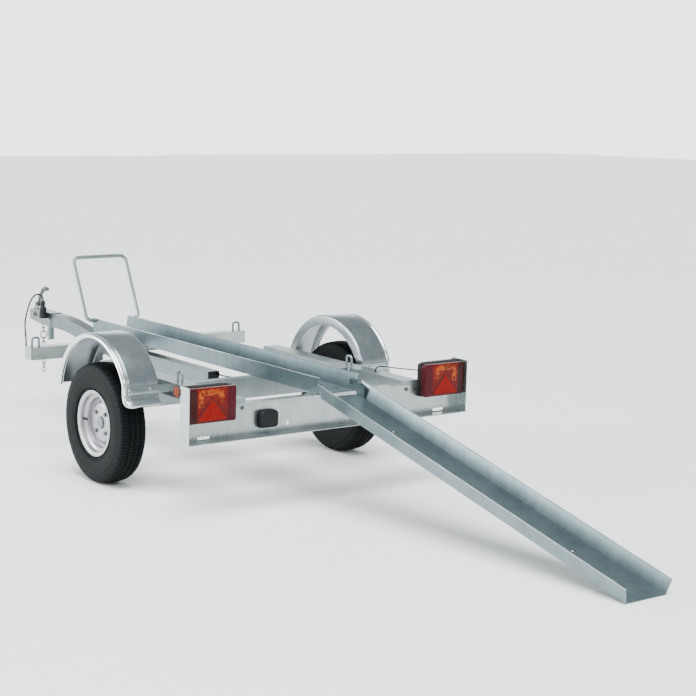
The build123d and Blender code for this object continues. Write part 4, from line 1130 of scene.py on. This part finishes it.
# %% Weld beads


def weld(start, stop, width=3.2):
    """A fillet bead from one place to another: a bar whose thickness ripples as the weld pool froze."""
    share = np.linspace(0, 1, 61)[:, None]
    path = np.asarray(start) * (1 - share) + np.asarray(stop) * share
    run = np.linalg.norm(path - path[0], axis=1)
    ripple = width * (0.85 + 0.15 * np.sin(run * 1900) + 0.08 * np.sin(run * 310 + 1))
    ripple[[0, -1]] *= 0.4
    return bar(path, ripple, (0.31, 0.52, 0.79), 10)


# The front crossbeam on the drawbar: two beads across its top and one along each side.
beads = [weld(on_deck(-29, u, 149.8), on_deck(29, u, 149.8)) for u in (779, 841)]
beads += [weld(on_deck(side * 30.6, 782, 149), on_deck(side * 30.6, 838, 149)) for side in (-1, 1)]
# The rear cross tube between the side members: front, rear and underside of each end.
for side in (-1, 1):
    beads += [weld(on_deck(side * 407, u, 151), on_deck(side * 407, u, 208)) for u in (-307, -355)]
    beads += [weld(on_deck(side * 408, -306, 151), on_deck(side * 408, -356, 151))]
# The tube for a jockey wheel, all round where it meets the drawbar's neck from below.
ring = np.linspace(0, 2 * np.pi, 73)
neck_foot = on_deck(19.2 * np.cos(ring), 1752 + 19.2 * np.sin(ring), 148.2)
ripple = 2.6 + 0.5 * np.sin(ring * 36)
beads.append(bar(neck_foot, ripple, ABOVE + ACROSS * 0.01, 10))
# The weld beads wear the near-white zinc as a painted highlight.
add("weld_beads", beads, painted_highlight_zinc, "chassis", "galvanised_steel")

# %% [markdown]
# ## Cable boots
# A tapered rubber boot guards each cable where it goes into steel. One section, turned about the
# cable's direction and scaled to its thickness, makes them all.

# %% Boots
boot = [(0, 0), (0, 9), (3, 9), (4, 7), (9, 6.2), (10, 5.2), (15, 4.8), (16, 3.9), (22, 3.5), (22, 0)]
# The lamp cable out of the drawbar and into the rear cross tube, and the lead into the crossbeam.
boots = [
    lathe(on_deck(20, 132, 134), -AHEAD, boot, 20),
    lathe(on_deck(-3, -306, 195), AHEAD, boot, 20),
    lathe(on_deck(-581, 840, 186), AHEAD, np.array(boot) * 1.2, 20),
]
# The short cables into the light board and out of the side members.
for side in (-1, 1):
    boots.append(lathe(on_deck(side * 520, -745, 243), AHEAD, np.array(boot) * 0.85, 20))
    boots.append(lathe(on_deck(side * 447, -500, 209), ABOVE, np.array(boot) * 0.6, 20))
add("cable_boots", boots, soft_plastic, "chassis", "black_plastic")

# %% [markdown]
# ## Floor
# The trailer stands on pale paper that reaches far enough to fill the view. It lies at height 0,
# where the tyres, the prop leg and the ramp touch it.

# %% Lay the floor


def floor_finish():
    """Pale floor paper with a barely seen unevenness."""
    f = Finish("floor_paper")
    tone = f.noise(1.5, 3)
    colour = f.mix(tone, (0.90, 0.90, 0.90), (0.92, 0.92, 0.92))
    return f.done(Base_Color=colour, Roughness=0.7)


floor_reach = 40
floor_grid = np.zeros((2, 2, 3))
floor_grid[..., 0], floor_grid[..., 1] = np.meshgrid([-floor_reach, floor_reach], [-floor_reach, floor_reach])
floor = bpy.data.objects.new("floor", skin("floor", [floor_grid], wrap_columns=False))
bpy.context.scene.collection.objects.link(floor)
floor.data.materials.append(floor_finish())
print("floor reaches", floor_reach, "m each way")

# %% [markdown]
# ## Light
# A metal looks like what it reflects, so the zinc needs broad soft lights. The sky is brightest
# low down in front of the trailer, and a wide sun stands overhead. One large lamp stands above
# the camera, and a larger one low on the left, in front of the trailer, where the ramp's inner
# wall mirrors it.

# %% Sky and lamps
sky = Tree(bpy.data.worlds.new("studio"), "Background")
x, y, z = sky.xyz(sky.node("ShaderNodeTexCoord", output="Generated"))
beyond = (x * 0.2 + y * 0.98).step(-0.2, 0.5)
overhead = z.step(0.12, 0.5)
glow = sky.mix(overhead, sky.mix(beyond, (0.8, 0.84, 0.85), (3.0, 3.1, 3.1)), (0.36, 0.42, 0.44))
bpy.context.scene.world = sky.done(Color=glow)


def soft_light(name, kind, place, target, energy, **settings):
    """A soft lamp of that kind that looks at its target."""
    lamp = bpy.data.lights.new(name, kind)
    lamp.energy = energy
    for key, value in settings.items():
        setattr(lamp, key, value)
    obj = bpy.data.objects.new(name, lamp)
    bpy.context.scene.collection.objects.link(obj)
    obj.location = place
    obj.rotation_mode = "QUATERNION"
    obj.rotation_quaternion = (Vector(target) - Vector(place)).to_track_quat("-Z", "Y")


soft_light("overhead", "SUN", (-1.0, -2.0, 8.0), (0, 0, 0), 5.8, angle=math.radians(45))
soft_light("key", "AREA", (-3.5, -6.0, 4.5), (0, 0, 0.4), 260, size=2.2)
soft_light("side", "AREA", (-6.0, 3.8, 1.9), (0, -1.3, 0.3), 620, size=4.2)
print("lamps", [lamp.name for lamp in bpy.data.lights])

# %% [markdown]
# ## Camera
# The camera looks at the trailer from behind on the left, from a little above the ramp. Its three
# angles give the directions ahead, right and up, which are the columns of its matrix.

# %% Point the camera
yaw, pitch, roll = (math.radians(v) for v in (37.087, 8.159, 0.8695))
ahead = Vector((math.sin(yaw) * math.cos(pitch), math.cos(yaw) * math.cos(pitch), -math.sin(pitch)))
level = Vector((math.cos(yaw), -math.sin(yaw), 0))
over = level.cross(ahead)
right = math.cos(roll) * level + math.sin(roll) * over
up = math.cos(roll) * over - math.sin(roll) * level
camera = bpy.data.objects.new("camera", bpy.data.cameras.new("camera"))
bpy.context.scene.collection.objects.link(camera)
camera.data.lens, camera.data.sensor_width = 87.27, 36
facing = Matrix((right, up, -ahead)).transposed().to_4x4()
camera.matrix_world = Matrix.Translation((-4.126, -6.348, 1.629)) @ facing
bpy.context.scene.camera = camera
print("camera at", [round(v, 3) for v in camera.location])

# %% [markdown]
